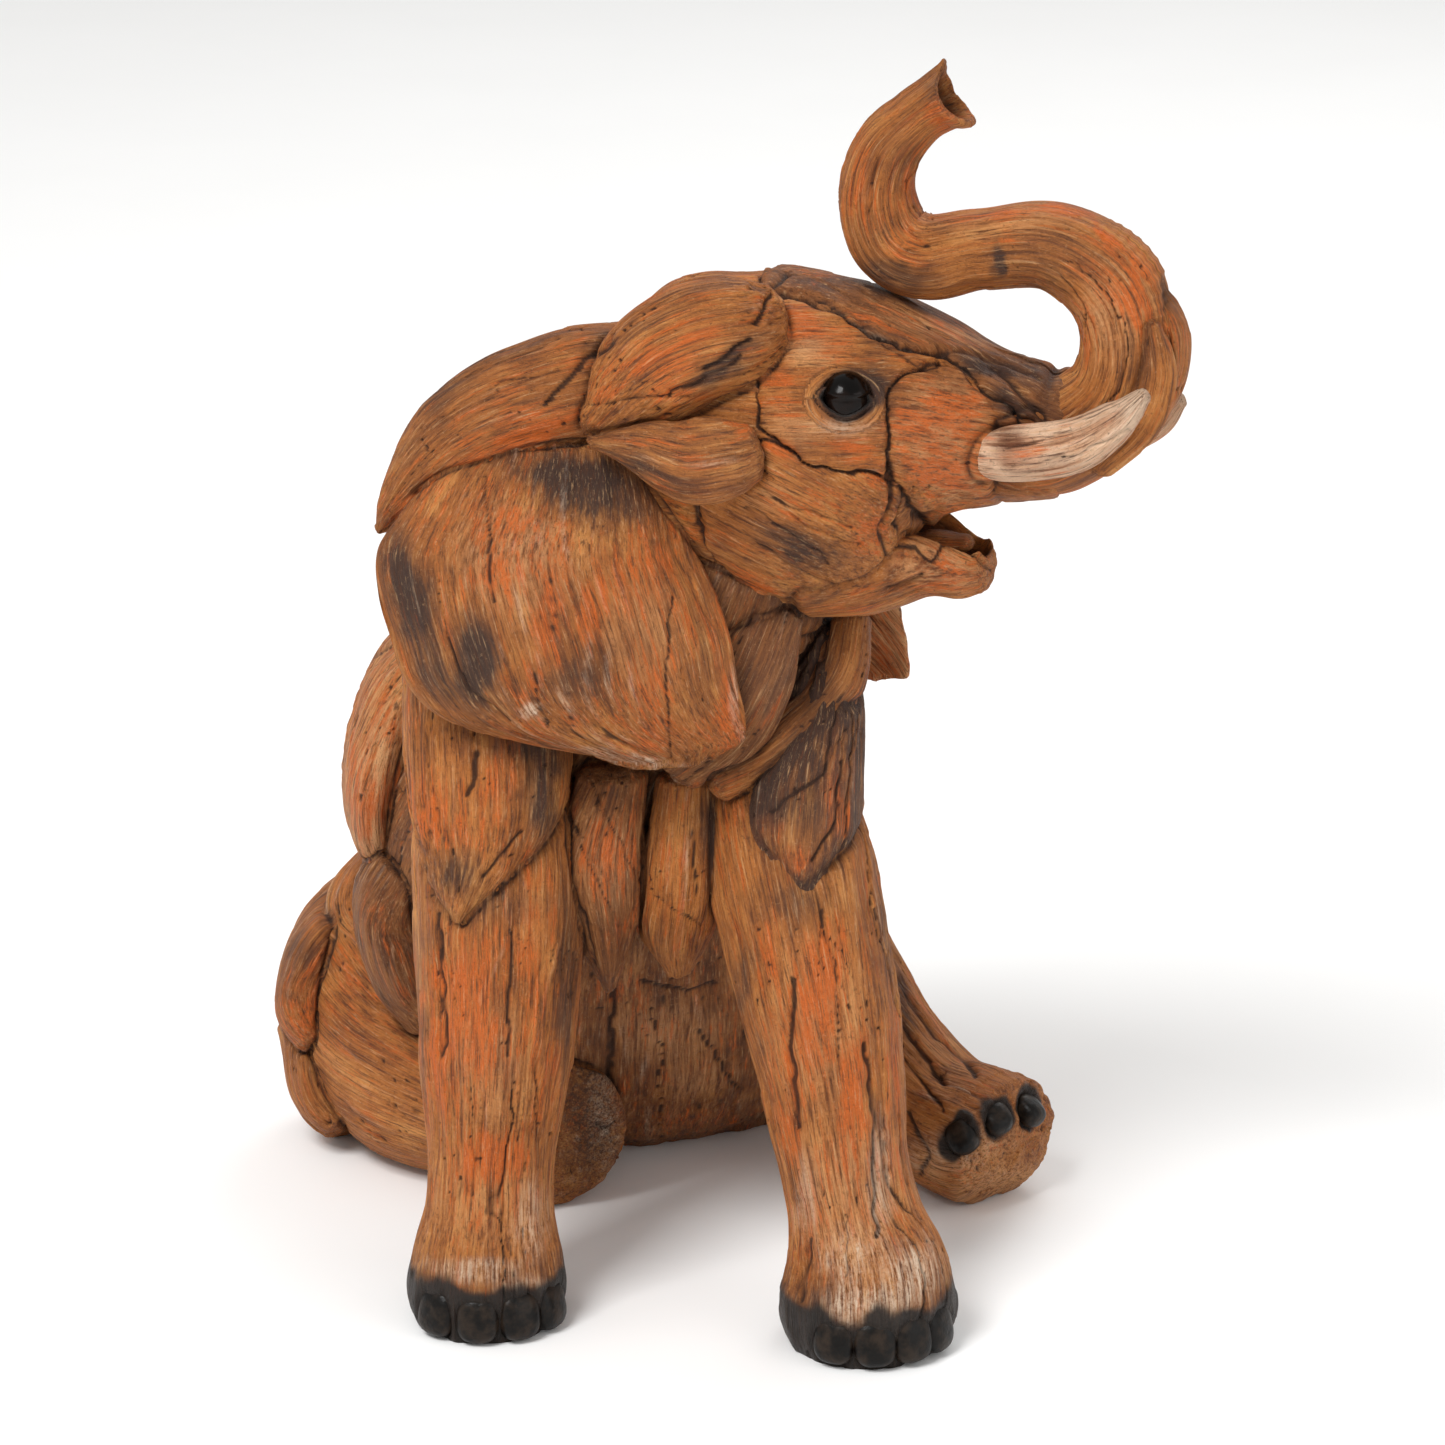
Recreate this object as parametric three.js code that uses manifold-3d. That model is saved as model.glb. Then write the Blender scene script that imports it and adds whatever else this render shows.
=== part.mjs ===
// A sitting elephant with its head turned to its left and its trunk raised over its head,
// put together from shaped driftwood pieces: solid limbs for the body, and slabs laid over them.
// Millimetres, +Z up. The rump and the feet stand on Z = 0, the chest faces -Y and the trunk is at +X.
import * as THREE from "three";
import { mergeVertices } from "three/addons/utils/BufferGeometryUtils.js";
import Module from "manifold-3d";

const wasm = await Module();
wasm.setup();

// Driving dimensions
const GAP = 0.35; // clearance between a piece and the one it is fitted to
const FAR = 400; // larger than the object, for cutting tools
const HEAD_YAW = THREE.MathUtils.degToRad(13); // how far the head turns back towards the front from +X
const HEAD = new THREE.Vector3(12, -38, 210); // middle of the skull, on the head's own mid-plane
const EYE_RADIUS = 5.4;
const PLATE = 2.4; // how far a head plate stands out of the skull
const NAIL = { width: 5, height: 6.2, depth: 3.6 }; // half sizes of a front toenail
const HIND_NAIL = { width: 4.6, height: 4.8, depth: 3.4 };
const DISPLAY_TILT = 18; // degrees above the horizon that the head plates' outlines are drawn from
const STANCE = new THREE.Vector3(3.09, -3.62, 0); // puts the middle of the footprint on the Z axis

const RIGHT = new THREE.Vector3(1, 0, 0);
const BACK = new THREE.Vector3(0, 1, 0);
const UP = new THREE.Vector3(0, 0, 1);
const DOWN = new THREE.Vector3(0, 0, -1);
const FRONT = new THREE.Vector3(0, -1, 0);
// The left hind foot lies on its heel, so its sole faces forwards and down
const SOLE_LEFT = { normal: new THREE.Vector3(0.45, -0.6, -0.65).normalize(), heel: new THREE.Vector3(66, 0, 14) };
const SNOUT = new THREE.Vector3(Math.cos(HEAD_YAW), -Math.sin(HEAD_YAW), 0); // the way the head faces
const LATERAL = new THREE.Vector3(Math.sin(HEAD_YAW), Math.cos(HEAD_YAW), 0); // the head's own left

// ---------------------------------------------------------------- solids

function toSolid(geometry) {
  const bare = new THREE.BufferGeometry().setAttribute("position", geometry.getAttribute("position"));
  if (geometry.index) bare.setIndex(geometry.index);
  const merged = mergeVertices(bare, 1e-4);
  return new wasm.Manifold(
    new wasm.Mesh({
      numProp: 3,
      vertProperties: merged.attributes.position.array,
      triVerts: new Uint32Array(merged.index.array),
    }),
  );
}

function toGeometry(solid) {
  const { numProp, vertProperties, triVerts } = solid.getMesh();
  const positions = [];
  for (let i = 0; i < vertProperties.length; i += numProp) {
    positions.push(vertProperties[i], vertProperties[i + 1], vertProperties[i + 2]);
  }
  return new THREE.BufferGeometry()
    .setAttribute("position", new THREE.Float32BufferAttribute(positions, 3))
    .setIndex([...triVerts]);
}

// A box far larger than the object whose underside lies on the floor.
const aboveFloor = toSolid(new THREE.BoxGeometry(FAR * 2, FAR * 2, FAR).translate(0, 0, FAR / 2));

// A limb is elliptical sections swept along a smooth curve and closed by two domes.
// Each station is [x, y, z, half width, half depth, bend]: the width runs along `across`, and bend
// pushes the middle of the section out along its depth, which makes a flat limb a curved slab.
function limb(stations, options = {}) {
  const { across = RIGHT, sides = 16, steps = 12, caps = [6, 6], upright = null, power = 2 } = options;
  const middle = new THREE.CatmullRomCurve3(
    stations.map(([x, y, z]) => new THREE.Vector3(x, y, z)), false, "catmullrom", 0.5);
  const size = new THREE.CatmullRomCurve3(
    stations.map(([, , , w, d, b = 0]) => new THREE.Vector3(w, d, b)), false, "catmullrom", 0.5);
  const domeRings = 3;
  return (grow = 0) => {
    const positions = [];
    const addRing = (t, push, shrink) => {
      const along = upright ?? middle.getTangent(t);
      const wide = across.clone().addScaledVector(along, -across.dot(along)).normalize();
      const deep = along.clone().cross(wide);
      const centre = middle.getPoint(t).addScaledVector(along, push);
      const { x: w, y: d, z: bend } = size.getPoint(t);
      for (let i = 0; i < sides; i++) {
        const angle = (i / sides) * 2 * Math.PI;
        const [c, s] = [Math.cos(angle), Math.sin(angle)];
        const round = (v) => Math.sign(v) * Math.abs(v) ** (2 / power);
        const u = round(c) * (w + grow) * shrink;
        const v = round(s) * (d + grow) * shrink + bend * (1 - (round(c) * shrink) ** 2);
        const p = centre.clone().addScaledVector(wide, u).addScaledVector(deep, v);
        positions.push(p.x, p.y, p.z);
      }
    };
    const addPole = (t, push) => {
      const along = upright ?? middle.getTangent(t);
      const wide = across.clone().addScaledVector(along, -across.dot(along)).normalize();
      const deep = along.clone().cross(wide);
      const p = middle.getPoint(t).addScaledVector(along, push).addScaledVector(deep, size.getPoint(t).z);
      positions.push(p.x, p.y, p.z);
    };
    addPole(0, -caps[0] - grow);
    for (let k = 1; k < domeRings; k++) {
      const a = (k / domeRings) * (Math.PI / 2);
      addRing(0, -(caps[0] + grow) * Math.cos(a), Math.sin(a));
    }
    for (let k = 0; k <= steps; k++) addRing(k / steps, 0, 1);
    for (let k = domeRings - 1; k > 0; k--) {
      const a = (k / domeRings) * (Math.PI / 2);
      addRing(1, (caps[1] + grow) * Math.cos(a), Math.sin(a));
    }
    addPole(1, caps[1] + grow);

    const rings = steps + 1 + 2 * (domeRings - 1);
    const last = 1 + rings * sides;
    const index = [];
    for (let i = 0; i < sides; i++) {
      const j = (i + 1) % sides;
      index.push(0, 1 + j, 1 + i);
      for (let k = 0; k < rings - 1; k++) {
        const [a, b] = [1 + k * sides, 1 + (k + 1) * sides];
        index.push(a + i, a + j, b + j, a + i, b + j, b + i);
      }
      index.push(last, last - sides + i, last - sides + j);
    }
    const geometry = new THREE.BufferGeometry()
      .setAttribute("position", new THREE.Float32BufferAttribute(positions, 3))
      .setIndex(index);
    const solid = toSolid(geometry);
    return solid.volume() < 0 ? toSolid(turnedInsideOut(geometry)) : solid;
  };
}

function turnedInsideOut(geometry) {
  const index = [...geometry.index.array];
  for (let i = 0; i < index.length; i += 3) [index[i], index[i + 1]] = [index[i + 1], index[i]];
  return geometry.clone().setIndex(index);
}

// A squashed ball, for eyes and toenails.
function ball([x, y, z], [rx, ry, rz], frame = new THREE.Matrix4(), sides = 8) {
  return (grow = 0) =>
    toSolid(
      new THREE.SphereGeometry(1, sides, Math.round(sides * 0.6))
        .scale(rx + grow, ry + grow, rz + grow)
        .applyMatrix4(frame)
        .translate(x, y, z),
    );
}

// What of `base`, grown by `thickness`, lies behind a smooth outline drawn on the display plane:
// [x, height] points as seen from the front, DISPLAY_TILT above the horizon.
function plate(base, outline, thickness, reach) {
  const tilt = THREE.MathUtils.degToRad(DISPLAY_TILT);
  return (grow = 0) => {
    const points = outline.map(([x, y]) => new THREE.Vector2(x, y));
    if (THREE.ShapeUtils.isClockWise(points)) points.reverse();
    const grown = points.map((p, i) => {
      const before = points[(i + points.length - 1) % points.length];
      const after = points[(i + 1) % points.length];
      const out = after.clone().sub(before).normalize();
      return p.clone().add(new THREE.Vector2(out.y, -out.x).multiplyScalar(grow));
    });
    const curve = new THREE.CatmullRomCurve3(grown.map((p) => new THREE.Vector3(p.x, p.y, 0)), true);
    const shape = new THREE.Shape(curve.getPoints(outline.length * 2).map((p) => new THREE.Vector2(p.x, p.y)));
    const prism = new THREE.ExtrudeGeometry(shape, { depth: FAR, bevelEnabled: false, steps: 1 });
    prism.translate(0, 0, reach - grow);
    prism.rotateX(Math.PI / 2 - tilt);
    return base(thickness + grow).intersect(toSolid(prism));
  };
}

const join = (a, b) => (grow = 0) => a(grow).add(b(grow));
const cut = (form, tool) => (grow = 0) => form(grow).subtract(tool(0));

// Everything on the near side of the head's mid-plane, and a little past it.
const nearHalf = toSolid(
  new THREE.BoxGeometry(FAR * 2, FAR, FAR * 2)
    .translate(0, 0.5 - FAR / 2, 0)
    .rotateZ(-HEAD_YAW)
    .translate(HEAD.x, HEAD.y, 0),
);

// The same form on the other side of the head's mid-plane.
function acrossHead(form) {
  const toOrigin = new THREE.Matrix4().makeTranslation(-HEAD.x, -HEAD.y, 0);
  const turn = new THREE.Matrix4().makeRotationZ(HEAD_YAW);
  const flip = new THREE.Matrix4().makeScale(1, -1, 1);
  const reflect = toOrigin.clone().premultiply(turn).premultiply(flip)
    .premultiply(turn.clone().invert()).premultiply(toOrigin.clone().invert());
  return (grow = 0) => toSolid(turnedInsideOut(toGeometry(form(grow)).applyMatrix4(reflect)));
}

// ---------------------------------------------------------------- assembly

const WOODS = {
  tan: { color: 0xa9713f, roughness: 0.8 },
  orange: { color: 0xb5652f, roughness: 0.8 },
  brown: { color: 0x7d5a40, roughness: 0.85 },
  pale: { color: 0xc79a6c, roughness: 0.7 },
  black: { color: 0x2a211c, roughness: 0.45 },
  glass: { color: 0x0b0706, roughness: 0.08 },
};

const elephant = new THREE.Group();
const sections = {};
for (const name of ["legs", "head", "ears", "body"]) {
  sections[name] = new THREE.Group();
  sections[name].position.copy(STANCE);
  elephant.add(sections[name]);
}

const placed = [];

function overlaps(a, b) {
  return [0, 1, 2].every((k) => a.min[k] - GAP < b.max[k] && b.min[k] - GAP < a.max[k]);
}

// Fits a form to every piece placed before it, and adds it as a mesh. Of what the cuts leave, the
// largest body is the piece: the rest are slivers that would be trimmed off.
function place(section, name, wood, form) {
  let solid = form(0).intersect(aboveFloor);
  for (const other of placed) {
    if (overlaps(solid.boundingBox(), other.box)) solid = solid.subtract(other.form(GAP));
  }
  const bodies = solid.decompose().sort((a, b) => b.volume() - a.volume());
  if (!bodies.length) throw new Error(`nothing is left of ${name}`);
  placed.push({ form, box: form(0).boundingBox() });
  const geometry = toGeometry(bodies[0]);
  const centre = geometry.boundingBox ?? (geometry.computeBoundingBox(), geometry.boundingBox);
  const pivot = centre.getCenter(new THREE.Vector3()).round();
  geometry.translate(-pivot.x, -pivot.y, -pivot.z);
  geometry.computeVertexNormals();
  const mesh = new THREE.Mesh(geometry, new THREE.MeshStandardMaterial({ ...WOODS[wood], metalness: 0 }));
  mesh.name = name;
  mesh.position.copy(pivot);
  sections[section].add(mesh);
}

// ---------------------------------------------------------------- legs

// A toenail whose face looks `out`, lying against the foot with its length pointing towards the sole.
function nail(name, spot, out, sole, size) {
  const along = sole.clone().addScaledVector(out, -sole.dot(out)).addScaledVector(out, 0.25).normalize();
  const across = out.clone().cross(along).normalize();
  const frame = new THREE.Matrix4().makeBasis(across, along.clone().cross(across), along);
  place("legs", name, "black", ball(spot, [size.width, size.depth, size.height], frame));
}

// Toenails round the rim of a foot: `ahead` is the way the toes point, and the angles are measured from
// ahead towards the +X side.
function nails(prefix, centre, radius, angles, size, sole = DOWN, ahead = FRONT) {
  angles.forEach((degrees, i) => {
    const a = THREE.MathUtils.degToRad(degrees);
    const out = ahead.clone().multiplyScalar(Math.cos(a)).addScaledVector(RIGHT, Math.sin(a));
    const spot = new THREE.Vector3(...centre).addScaledVector(out, radius);
    nail(`${prefix}_${i + 1}`, spot.toArray(), out, sole, size);
  });
}

nails("nail_front_right", [-57, -75, 6.4], 17.8, [-42, -6, 28, 60], NAIL);
nails("nail_front_left", [35, -88, 6.8], 19.4, [-26, 4, 32, 58], NAIL);

const frontLegRight = limb(
  [[-57, -74, 0, 17, 17], [-57, -75, 7, 19.5, 19.5], [-57, -74, 16, 18.5, 18.5], [-56.5, -71, 27, 15.8, 15.5],
    [-56, -68, 42, 15.8, 16], [-55, -64, 62, 18, 18.5], [-54, -57, 88, 19.8, 21], [-54, -49, 114, 20, 22],
    [-54, -40, 136, 17, 19]],
  { sides: 14, steps: 10, caps: [3, 8] });
place("legs", "front_leg_right", "tan", frontLegRight);

const frontLegLeft = limb(
  [[35, -87, 0, 18.5, 19], [35, -88, 7.5, 21.3, 21.5], [34.5, -86, 17, 20, 20], [31.5, -82, 29, 16, 16],
    [29, -78, 42, 15.7, 16], [26, -71, 62, 17.5, 18.5], [21.5, -63, 86, 19.5, 20.5], [16, -53, 110, 20, 22],
    [11, -43, 130, 17, 19]],
  { sides: 14, steps: 10, caps: [3, 8] });
place("legs", "front_leg_left", "tan", frontLegLeft);

nails("nail_hind_right", [-43, -5, 19], 17.6, [-82, -46, -10], HIND_NAIL, FRONT, UP);

const hindLegRight = limb(
  [[-62, 72, 58, 26, 20], [-78, 60, 47, 31.5, 24.5], [-86, 46, 35, 33, 25], [-81, 28, 25, 26, 22],
    [-62, 12, 20, 20, 20], [-47, 2, 20, 19, 19], [-43, -8, 20, 19.5, 19.5]],
  { across: UP, sides: 14, steps: 9, caps: [14, 5] });
place("legs", "hind_leg_right", "tan", hindLegRight);

[[60, -19, 23.5], [69, -14, 27], [78.5, -4.5, 25.5]].forEach((spot, i) => {
  const out = new THREE.Vector3(...spot).sub(SOLE_LEFT.heel).normalize();
  nail(`nail_hind_left_${i + 1}`, spot, out, SOLE_LEFT.normal, HIND_NAIL);
});
const hindLegLeft = limb(
  [[2, 72, 57, 28, 24], [14, 54, 50, 29.5, 24], [29, 34, 38, 22.5, 20], [44, 18, 27, 18, 16.5],
    [55, 7, 19, 17, 17.5], [66.5, -2, 17, 17.5, 20.5], [71.5, -6, 17, 16.5, 20]],
  { across: UP, sides: 14, steps: 9, caps: [14, 5] });
place("legs", "hind_leg_left", "tan", hindLegLeft);

// ---------------------------------------------------------------- head

const eyeRight = ball([28.2, -71, 228.5], [EYE_RADIUS, EYE_RADIUS, EYE_RADIUS], undefined, 12);
place("head", "eye_right", "glass", eyeRight);
place("head", "eye_left", "glass", acrossHead(eyeRight));

place("head", "tusk_right", "pale", limb(
  [[60, -64, 213, 5, 6], [70, -70, 214.5, 6, 7.2], [82, -75, 218, 5.6, 6.8], [91, -78, 225, 4.2, 4.8],
    [96.5, -79, 231.5, 2, 2.2]],
  { across: LATERAL, sides: 8, steps: 7, caps: [3, 2] }));
place("head", "tusk_left", "pale", limb(
  [[66, -34, 210, 5, 6], [80, -31, 208, 6, 7], [93, -32, 210, 5.6, 6.2], [103, -36, 214.5, 4.4, 4.8],
    [108, -39, 220, 2.4, 2.6]],
  { across: LATERAL, sides: 8, steps: 7, caps: [3, 2] }));

const nostril = limb(
  [[47, -46, 291.5, 2.4, 2.4], [50.5, -46.8, 293.8, 5, 4.4], [53.5, -47.7, 295.5, 9.5, 6.6], [59, -49, 298, 14, 8.8]],
  { across: LATERAL, sides: 10, steps: 4, caps: [2, 2] });
const trunkForm = limb(
  [[66, -51, 214, 15, 14], [80, -54, 216, 15, 14], [92, -56.5, 226, 13, 12.2], [95, -57, 240, 12.2, 11.6],
    [90.5, -56, 253, 12, 11.8], [77, -53, 261, 11, 10.6], [61, -49, 260.5, 10.3, 9.4],
    [48, -46, 259, 10.3, 9.4], [39.5, -44, 263, 9.8, 9.2], [36.5, -43.5, 272, 9, 8.6],
    [38.5, -44, 282, 8.2, 8], [45, -45.5, 289.5, 6.8, 6.4], [50, -46.8, 293.5, 7.2, 6.9],
    [53, -47.6, 295.3, 8.4, 8.4]],
  { across: LATERAL, sides: 12, steps: 24, caps: [4, 0.6] });
place("head", "trunk", "tan", cut(trunkForm, nostril));

const skull = limb(
  [[-24, -29, 213, 18, 22], [-12, -32, 213, 30, 34], [5, -36, 211, 36, 38.5], [22, -40, 210, 36, 39.5],
    [38, -44, 212, 31, 34], [52, -47, 217, 24, 23], [64, -50, 216, 18.5, 17.5], [78, -53, 216, 15, 14],
    [88, -55.5, 218, 12, 11]],
  { across: LATERAL, upright: SNOUT, sides: 16, steps: 10, caps: [6, 4] });
place("head", "skull", "tan", skull);

place("head", "tongue", "orange", limb(
  [[40, -44, 188, 8, 3], [50, -46.5, 189.5, 7, 3], [57, -48, 190, 4.5, 2.2]],
  { across: LATERAL, sides: 8, steps: 4, caps: [3, 3] }));
place("head", "lower_jaw", "tan", limb(
  [[24, -41, 181, 24, 12], [38, -44, 182.5, 19, 10.5, -2], [50, -47, 184.5, 14, 8, -2],
    [58, -49, 186, 10, 5.5, -2], [61.5, -50, 187, 6, 3.5, -1.5]],
  { across: LATERAL, upright: SNOUT, sides: 12, steps: 6, caps: [8, 3] }));

// Outlines of the plates on the near side of the head, each [x, height] on the display plane
const BROW = [[12.2, 219], [8.7, 212], [8, 196], [10.6, 188.5], [22.6, 181.5], [37.8, 178.6], [37.4, 187],
  [37.8, 196], [42, 201], [49, 203.4], [41, 206.4], [29.6, 212.6], [16, 219.4]];
const SNOUT_PLATE = [[39.4, 195.5], [43, 199.8], [51.7, 201.5], [64.4, 194.4], [69.5, 190.4], [64.4, 189.4],
  [61.4, 186.4], [60.6, 181.4], [64.4, 176.8], [78, 176.4], [78, 172.5], [64.4, 168.4], [48, 169], [41, 177],
  [38.9, 186.4]];
const CHEEK = [[8.7, 185.6], [22.6, 179.4], [38.4, 176.4], [39.6, 168], [38.6, 158.5], [39.6, 149],
  [22.6, 143], [6.4, 149], [-3, 163], [-5.2, 171.4], [3, 178.4]];
const FOREHEAD = [[11, 222], [18, 221], [29.6, 214.6], [41, 208.2], [52.8, 205], [64.4, 197], [76, 190],
  [86.5, 187], [90.4, 196], [92, 206], [64, 222], [41, 236], [18, 238], [9, 232]];
const foreheadHalf = (grow = 0) => plate(skull, FOREHEAD, PLATE, 105)(grow).intersect(nearHalf);
place("head", "forehead_slab", "brown", join(foreheadHalf, acrossHead(foreheadHalf)));
for (const [name, wood, outline, thickness] of [
  ["brow", "tan", BROW, PLATE],
  ["snout_slab", "orange", SNOUT_PLATE, PLATE],
  ["cheek", "tan", CHEEK, PLATE - 0.6],
]) {
  const near = plate(skull, outline, thickness, 105);
  place("head", `${name}_right`, wood, near);
  place("head", `${name}_left`, wood, acrossHead(near));
}
place("head", "trunk_strip_front", "tan", limb(
  [[101.5, -58, 252, 5, 2.6], [105.5, -59, 242, 7, 3], [105, -59, 231, 7.5, 3], [101, -58, 221, 6.5, 3]],
  { across: LATERAL, sides: 8, steps: 6, caps: [3, 3] }));
place("head", "trunk_strip_side", "tan", limb(
  [[99, -66, 244, 3, 2.5], [100, -67.5, 233, 5, 3], [96, -68, 222, 5.5, 3], [88, -67.5, 213, 4, 2.5]],
  { across: SNOUT, sides: 8, steps: 6, caps: [3, 3] }));

// ---------------------------------------------------------------- ears

place("ears", "temple_slab", "tan", limb(
  [[-29, -68, 217.5, 2, 2], [-19, -71, 217, 6, 3.6], [-8, -74, 214.5, 10, 4.6], [1, -76, 216, 9.5, 4.6],
    [7, -76, 217.5, 7, 3.6]],
  { across: UP, sides: 10, steps: 7, caps: [3, 2] }));
place("ears", "ear_crest_right", "tan", limb(
  [[11, -57, 242, 11, 9], [4, -60, 241, 14.5, 12], [-6, -62, 239, 15.5, 12], [-18, -62, 231.5, 13.5, 11],
    [-28, -62, 222, 6, 7]],
  { across: UP, sides: 12, steps: 8, caps: [4, 5] }));
place("ears", "ear_roll_right", "orange", limb(
  [[-20, -50, 228, 14, 11], [-36, -53, 226, 14.5, 11.5], [-53, -54, 220.5, 13.5, 10], [-66, -53, 211, 10.5, 8],
    [-75, -52, 201, 5.8, 6], [-80.5, -51, 192.5, 2, 2.4]],
  { across: UP, sides: 12, steps: 10, caps: [5, 2] }));
place("ears", "ear_flap_right", "orange", limb(
  [[-40, -56, 213, 22, 4, 3], [-42, -60, 202, 31, 4, 6], [-44, -63, 191, 37.2, 3.6, 9], [-41.5, -66, 180, 40, 3.4, 10],
    [-38.5, -68, 170, 40.2, 3.2, 10], [-35.5, -70, 160, 39.5, 3, 9], [-30, -71, 151.5, 36, 2.8, 7],
    [-22, -72, 146, 27, 2.4, 5], [-16, -72, 142.5, 15, 2, 3]],
  { upright: DOWN, sides: 18, steps: 9, caps: [3, 2] }));

place("ears", "ear_crest_left", "tan", limb(
  [[22, -7, 231, 9, 9], [12, -4, 229, 12, 11], [0, 1, 226, 13, 11], [-14, 6, 219, 12, 10], [-26, 10, 210, 7, 7]],
  { across: UP, sides: 12, steps: 8, caps: [4, 5] }));
place("ears", "ear_roll_left", "orange", limb(
  [[-16, 6, 212, 12, 9], [-31, 14, 208, 12.5, 9], [-45, 22, 203, 11, 8], [-54, 28, 195, 8, 6], [-60, 32, 186, 4, 4]],
  { across: UP, sides: 12, steps: 8, caps: [5, 2] }));
place("ears", "ear_flap_left", "orange", limb(
  [[-12, 6, 206, 22, 4, -3], [-14, 12, 198, 30, 4, -5], [-12, 17, 189, 36, 3.6, -7], [-8, 21, 179, 39, 3.4, -8],
    [-2, 25, 168, 40, 3.2, -8], [6, 28, 157, 37, 3, -7], [17, 29, 147, 29, 2.8, -5], [29, 28, 138, 18, 2.4, -3],
    [38, 25, 132, 9, 2, -2]],
  { across: new THREE.Vector3(0.974, -0.225, 0), upright: DOWN, sides: 18, steps: 9, caps: [3, 2] }));

// ---------------------------------------------------------------- body

place("body", "neck", "brown", limb(
  [[-19, -12, 134, 38, 36], [-12, -21, 154, 35.5, 35], [-2, -28, 175, 31, 33], [5, -35, 192, 28, 30]],
  { sides: 14, steps: 5, caps: [6, 6] }));
place("body", "torso", "brown", limb(
  [[-31, 73, 2, 56, 32], [-31, 65, 24, 63, 46], [-30, 51, 52, 65, 54], [-29, 31, 81, 63, 54], [-27, 9, 109, 58, 48],
    [-22, -12, 134, 48, 39], [-14, -24, 152, 36, 31]],
  { sides: 18, steps: 9, caps: [8, 8] }));

place("body", "shoulder_slab_right", "tan", limb(
  [[-58, -40, 158, 18, 14], [-56.5, -50, 144, 20, 17], [-56, -56, 130, 19.6, 18], [-57, -60, 117, 15.8, 16],
    [-60, -62.5, 107, 9.5, 13.5], [-62.5, -64, 101, 4, 11]],
  { upright: DOWN, sides: 12, steps: 9, caps: [5, 2] }));
place("body", "shoulder_slab_left", "tan", limb(
  [[24, -36, 162, 6, 9], [23.5, -44, 150, 10, 13], [20, -52, 136, 13.8, 17], [18.5, -57, 124, 14.8, 18],
    [18.5, -60, 115.5, 11.8, 16], [18, -63, 109, 6.5, 13.5], [16.5, -64, 105, 2.5, 11]],
  { upright: DOWN, sides: 12, steps: 9, caps: [4, 2] }));
place("body", "throat_slab", "pale", limb(
  [[31, -40, 166, 5, 5], [27, -48, 152, 7, 5.5], [15, -57, 141, 7.5, 5.5], [-1, -61, 133, 6, 5]],
  { sides: 8, steps: 6, caps: [3, 3] }));
place("body", "chest_slab_middle", "tan", limb(
  [[-8, -50, 129, 8, 9], [-9, -52, 114, 10, 10], [-10, -50, 101, 10, 10.5], [-11.5, -45, 91, 7.5, 10.5],
    [-11, -41, 84, 3.5, 9]],
  { upright: DOWN, sides: 10, steps: 7, caps: [4, 2] }));
place("body", "chest_slab_right", "brown", limb(
  [[-27, -50, 130, 9, 10], [-31, -51, 115, 13, 11], [-30, -49, 105, 12, 11.5], [-28.5, -45, 96, 8.5, 12],
    [-28.5, -41, 86, 4.5, 11], [-29.5, -37, 79, 1.8, 9]],
  { upright: DOWN, sides: 10, steps: 8, caps: [4, 2] }));
place("body", "neck_slab", "brown", limb(
  [[12, -54, 172, 8, 5], [6, -60, 160, 12, 6], [-2, -62, 148, 13, 6], [-12, -62, 138, 9, 5]],
  { sides: 10, steps: 6, caps: [4, 3] }));

place("body", "flank_slab_upper_right", "tan", limb(
  [[-66, 2, 152, 12, 9], [-78, 10, 136, 22, 10], [-85, 18, 116, 27, 10], [-86, 28, 97, 24, 10], [-82, 36, 84, 14, 8]],
  { across: BACK, sides: 12, steps: 8, caps: [4, 4] }));
place("body", "flank_slab_lower_right", "brown", limb(
  [[-78, 8, 90, 15, 10], [-83, 12, 76, 22, 11], [-80, 14, 60, 22, 11], [-74, 16, 46, 14, 9]],
  { across: BACK, sides: 12, steps: 7, caps: [4, 4] }));
place("body", "flank_slab_left", "tan", limb(
  [[12, 6, 148, 12, 9], [20, 16, 130, 22, 10], [25, 28, 110, 27, 10], [26, 42, 90, 24, 10], [24, 52, 76, 14, 8]],
  { across: BACK, sides: 12, steps: 7, caps: [4, 4] }));

place("body", "back_slab_middle", "tan", limb(
  [[-15, 6, 170, 10, 6], [-24, 38, 144, 18, 7.5], [-30, 66, 116, 22, 7.5], [-31, 91, 84, 20, 7.5], [-31, 107, 50, 11, 6]],
  { across: RIGHT, sides: 10, steps: 7, caps: [4, 4] }));
place("body", "back_slab_right", "brown", limb(
  [[-46, 22, 148, 14, 7], [-61, 46, 126, 21, 8], [-69, 69, 98, 22, 8], [-67, 88, 68, 14, 7]],
  { across: new THREE.Vector3(0.8, 0.6, 0), sides: 10, steps: 6, caps: [4, 4] }));
place("body", "back_slab_left", "brown", limb(
  [[-2, 24, 147, 14, 7], [4, 48, 125, 21, 8.5], [7, 71, 97, 22, 8.5], [3, 89, 66, 14, 7]],
  { across: new THREE.Vector3(0.8, -0.6, 0), sides: 10, steps: 6, caps: [4, 4] }));
place("body", "tail", "brown", limb(
  [[-31, 106, 44, 5, 5], [-34, 113, 28, 4.4, 4.4], [-42, 114, 13, 4, 4], [-54, 111, 6, 4, 4], [-66, 105, 6, 5, 4.5]],
  { sides: 8, steps: 10, caps: [3, 4] }));

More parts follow.
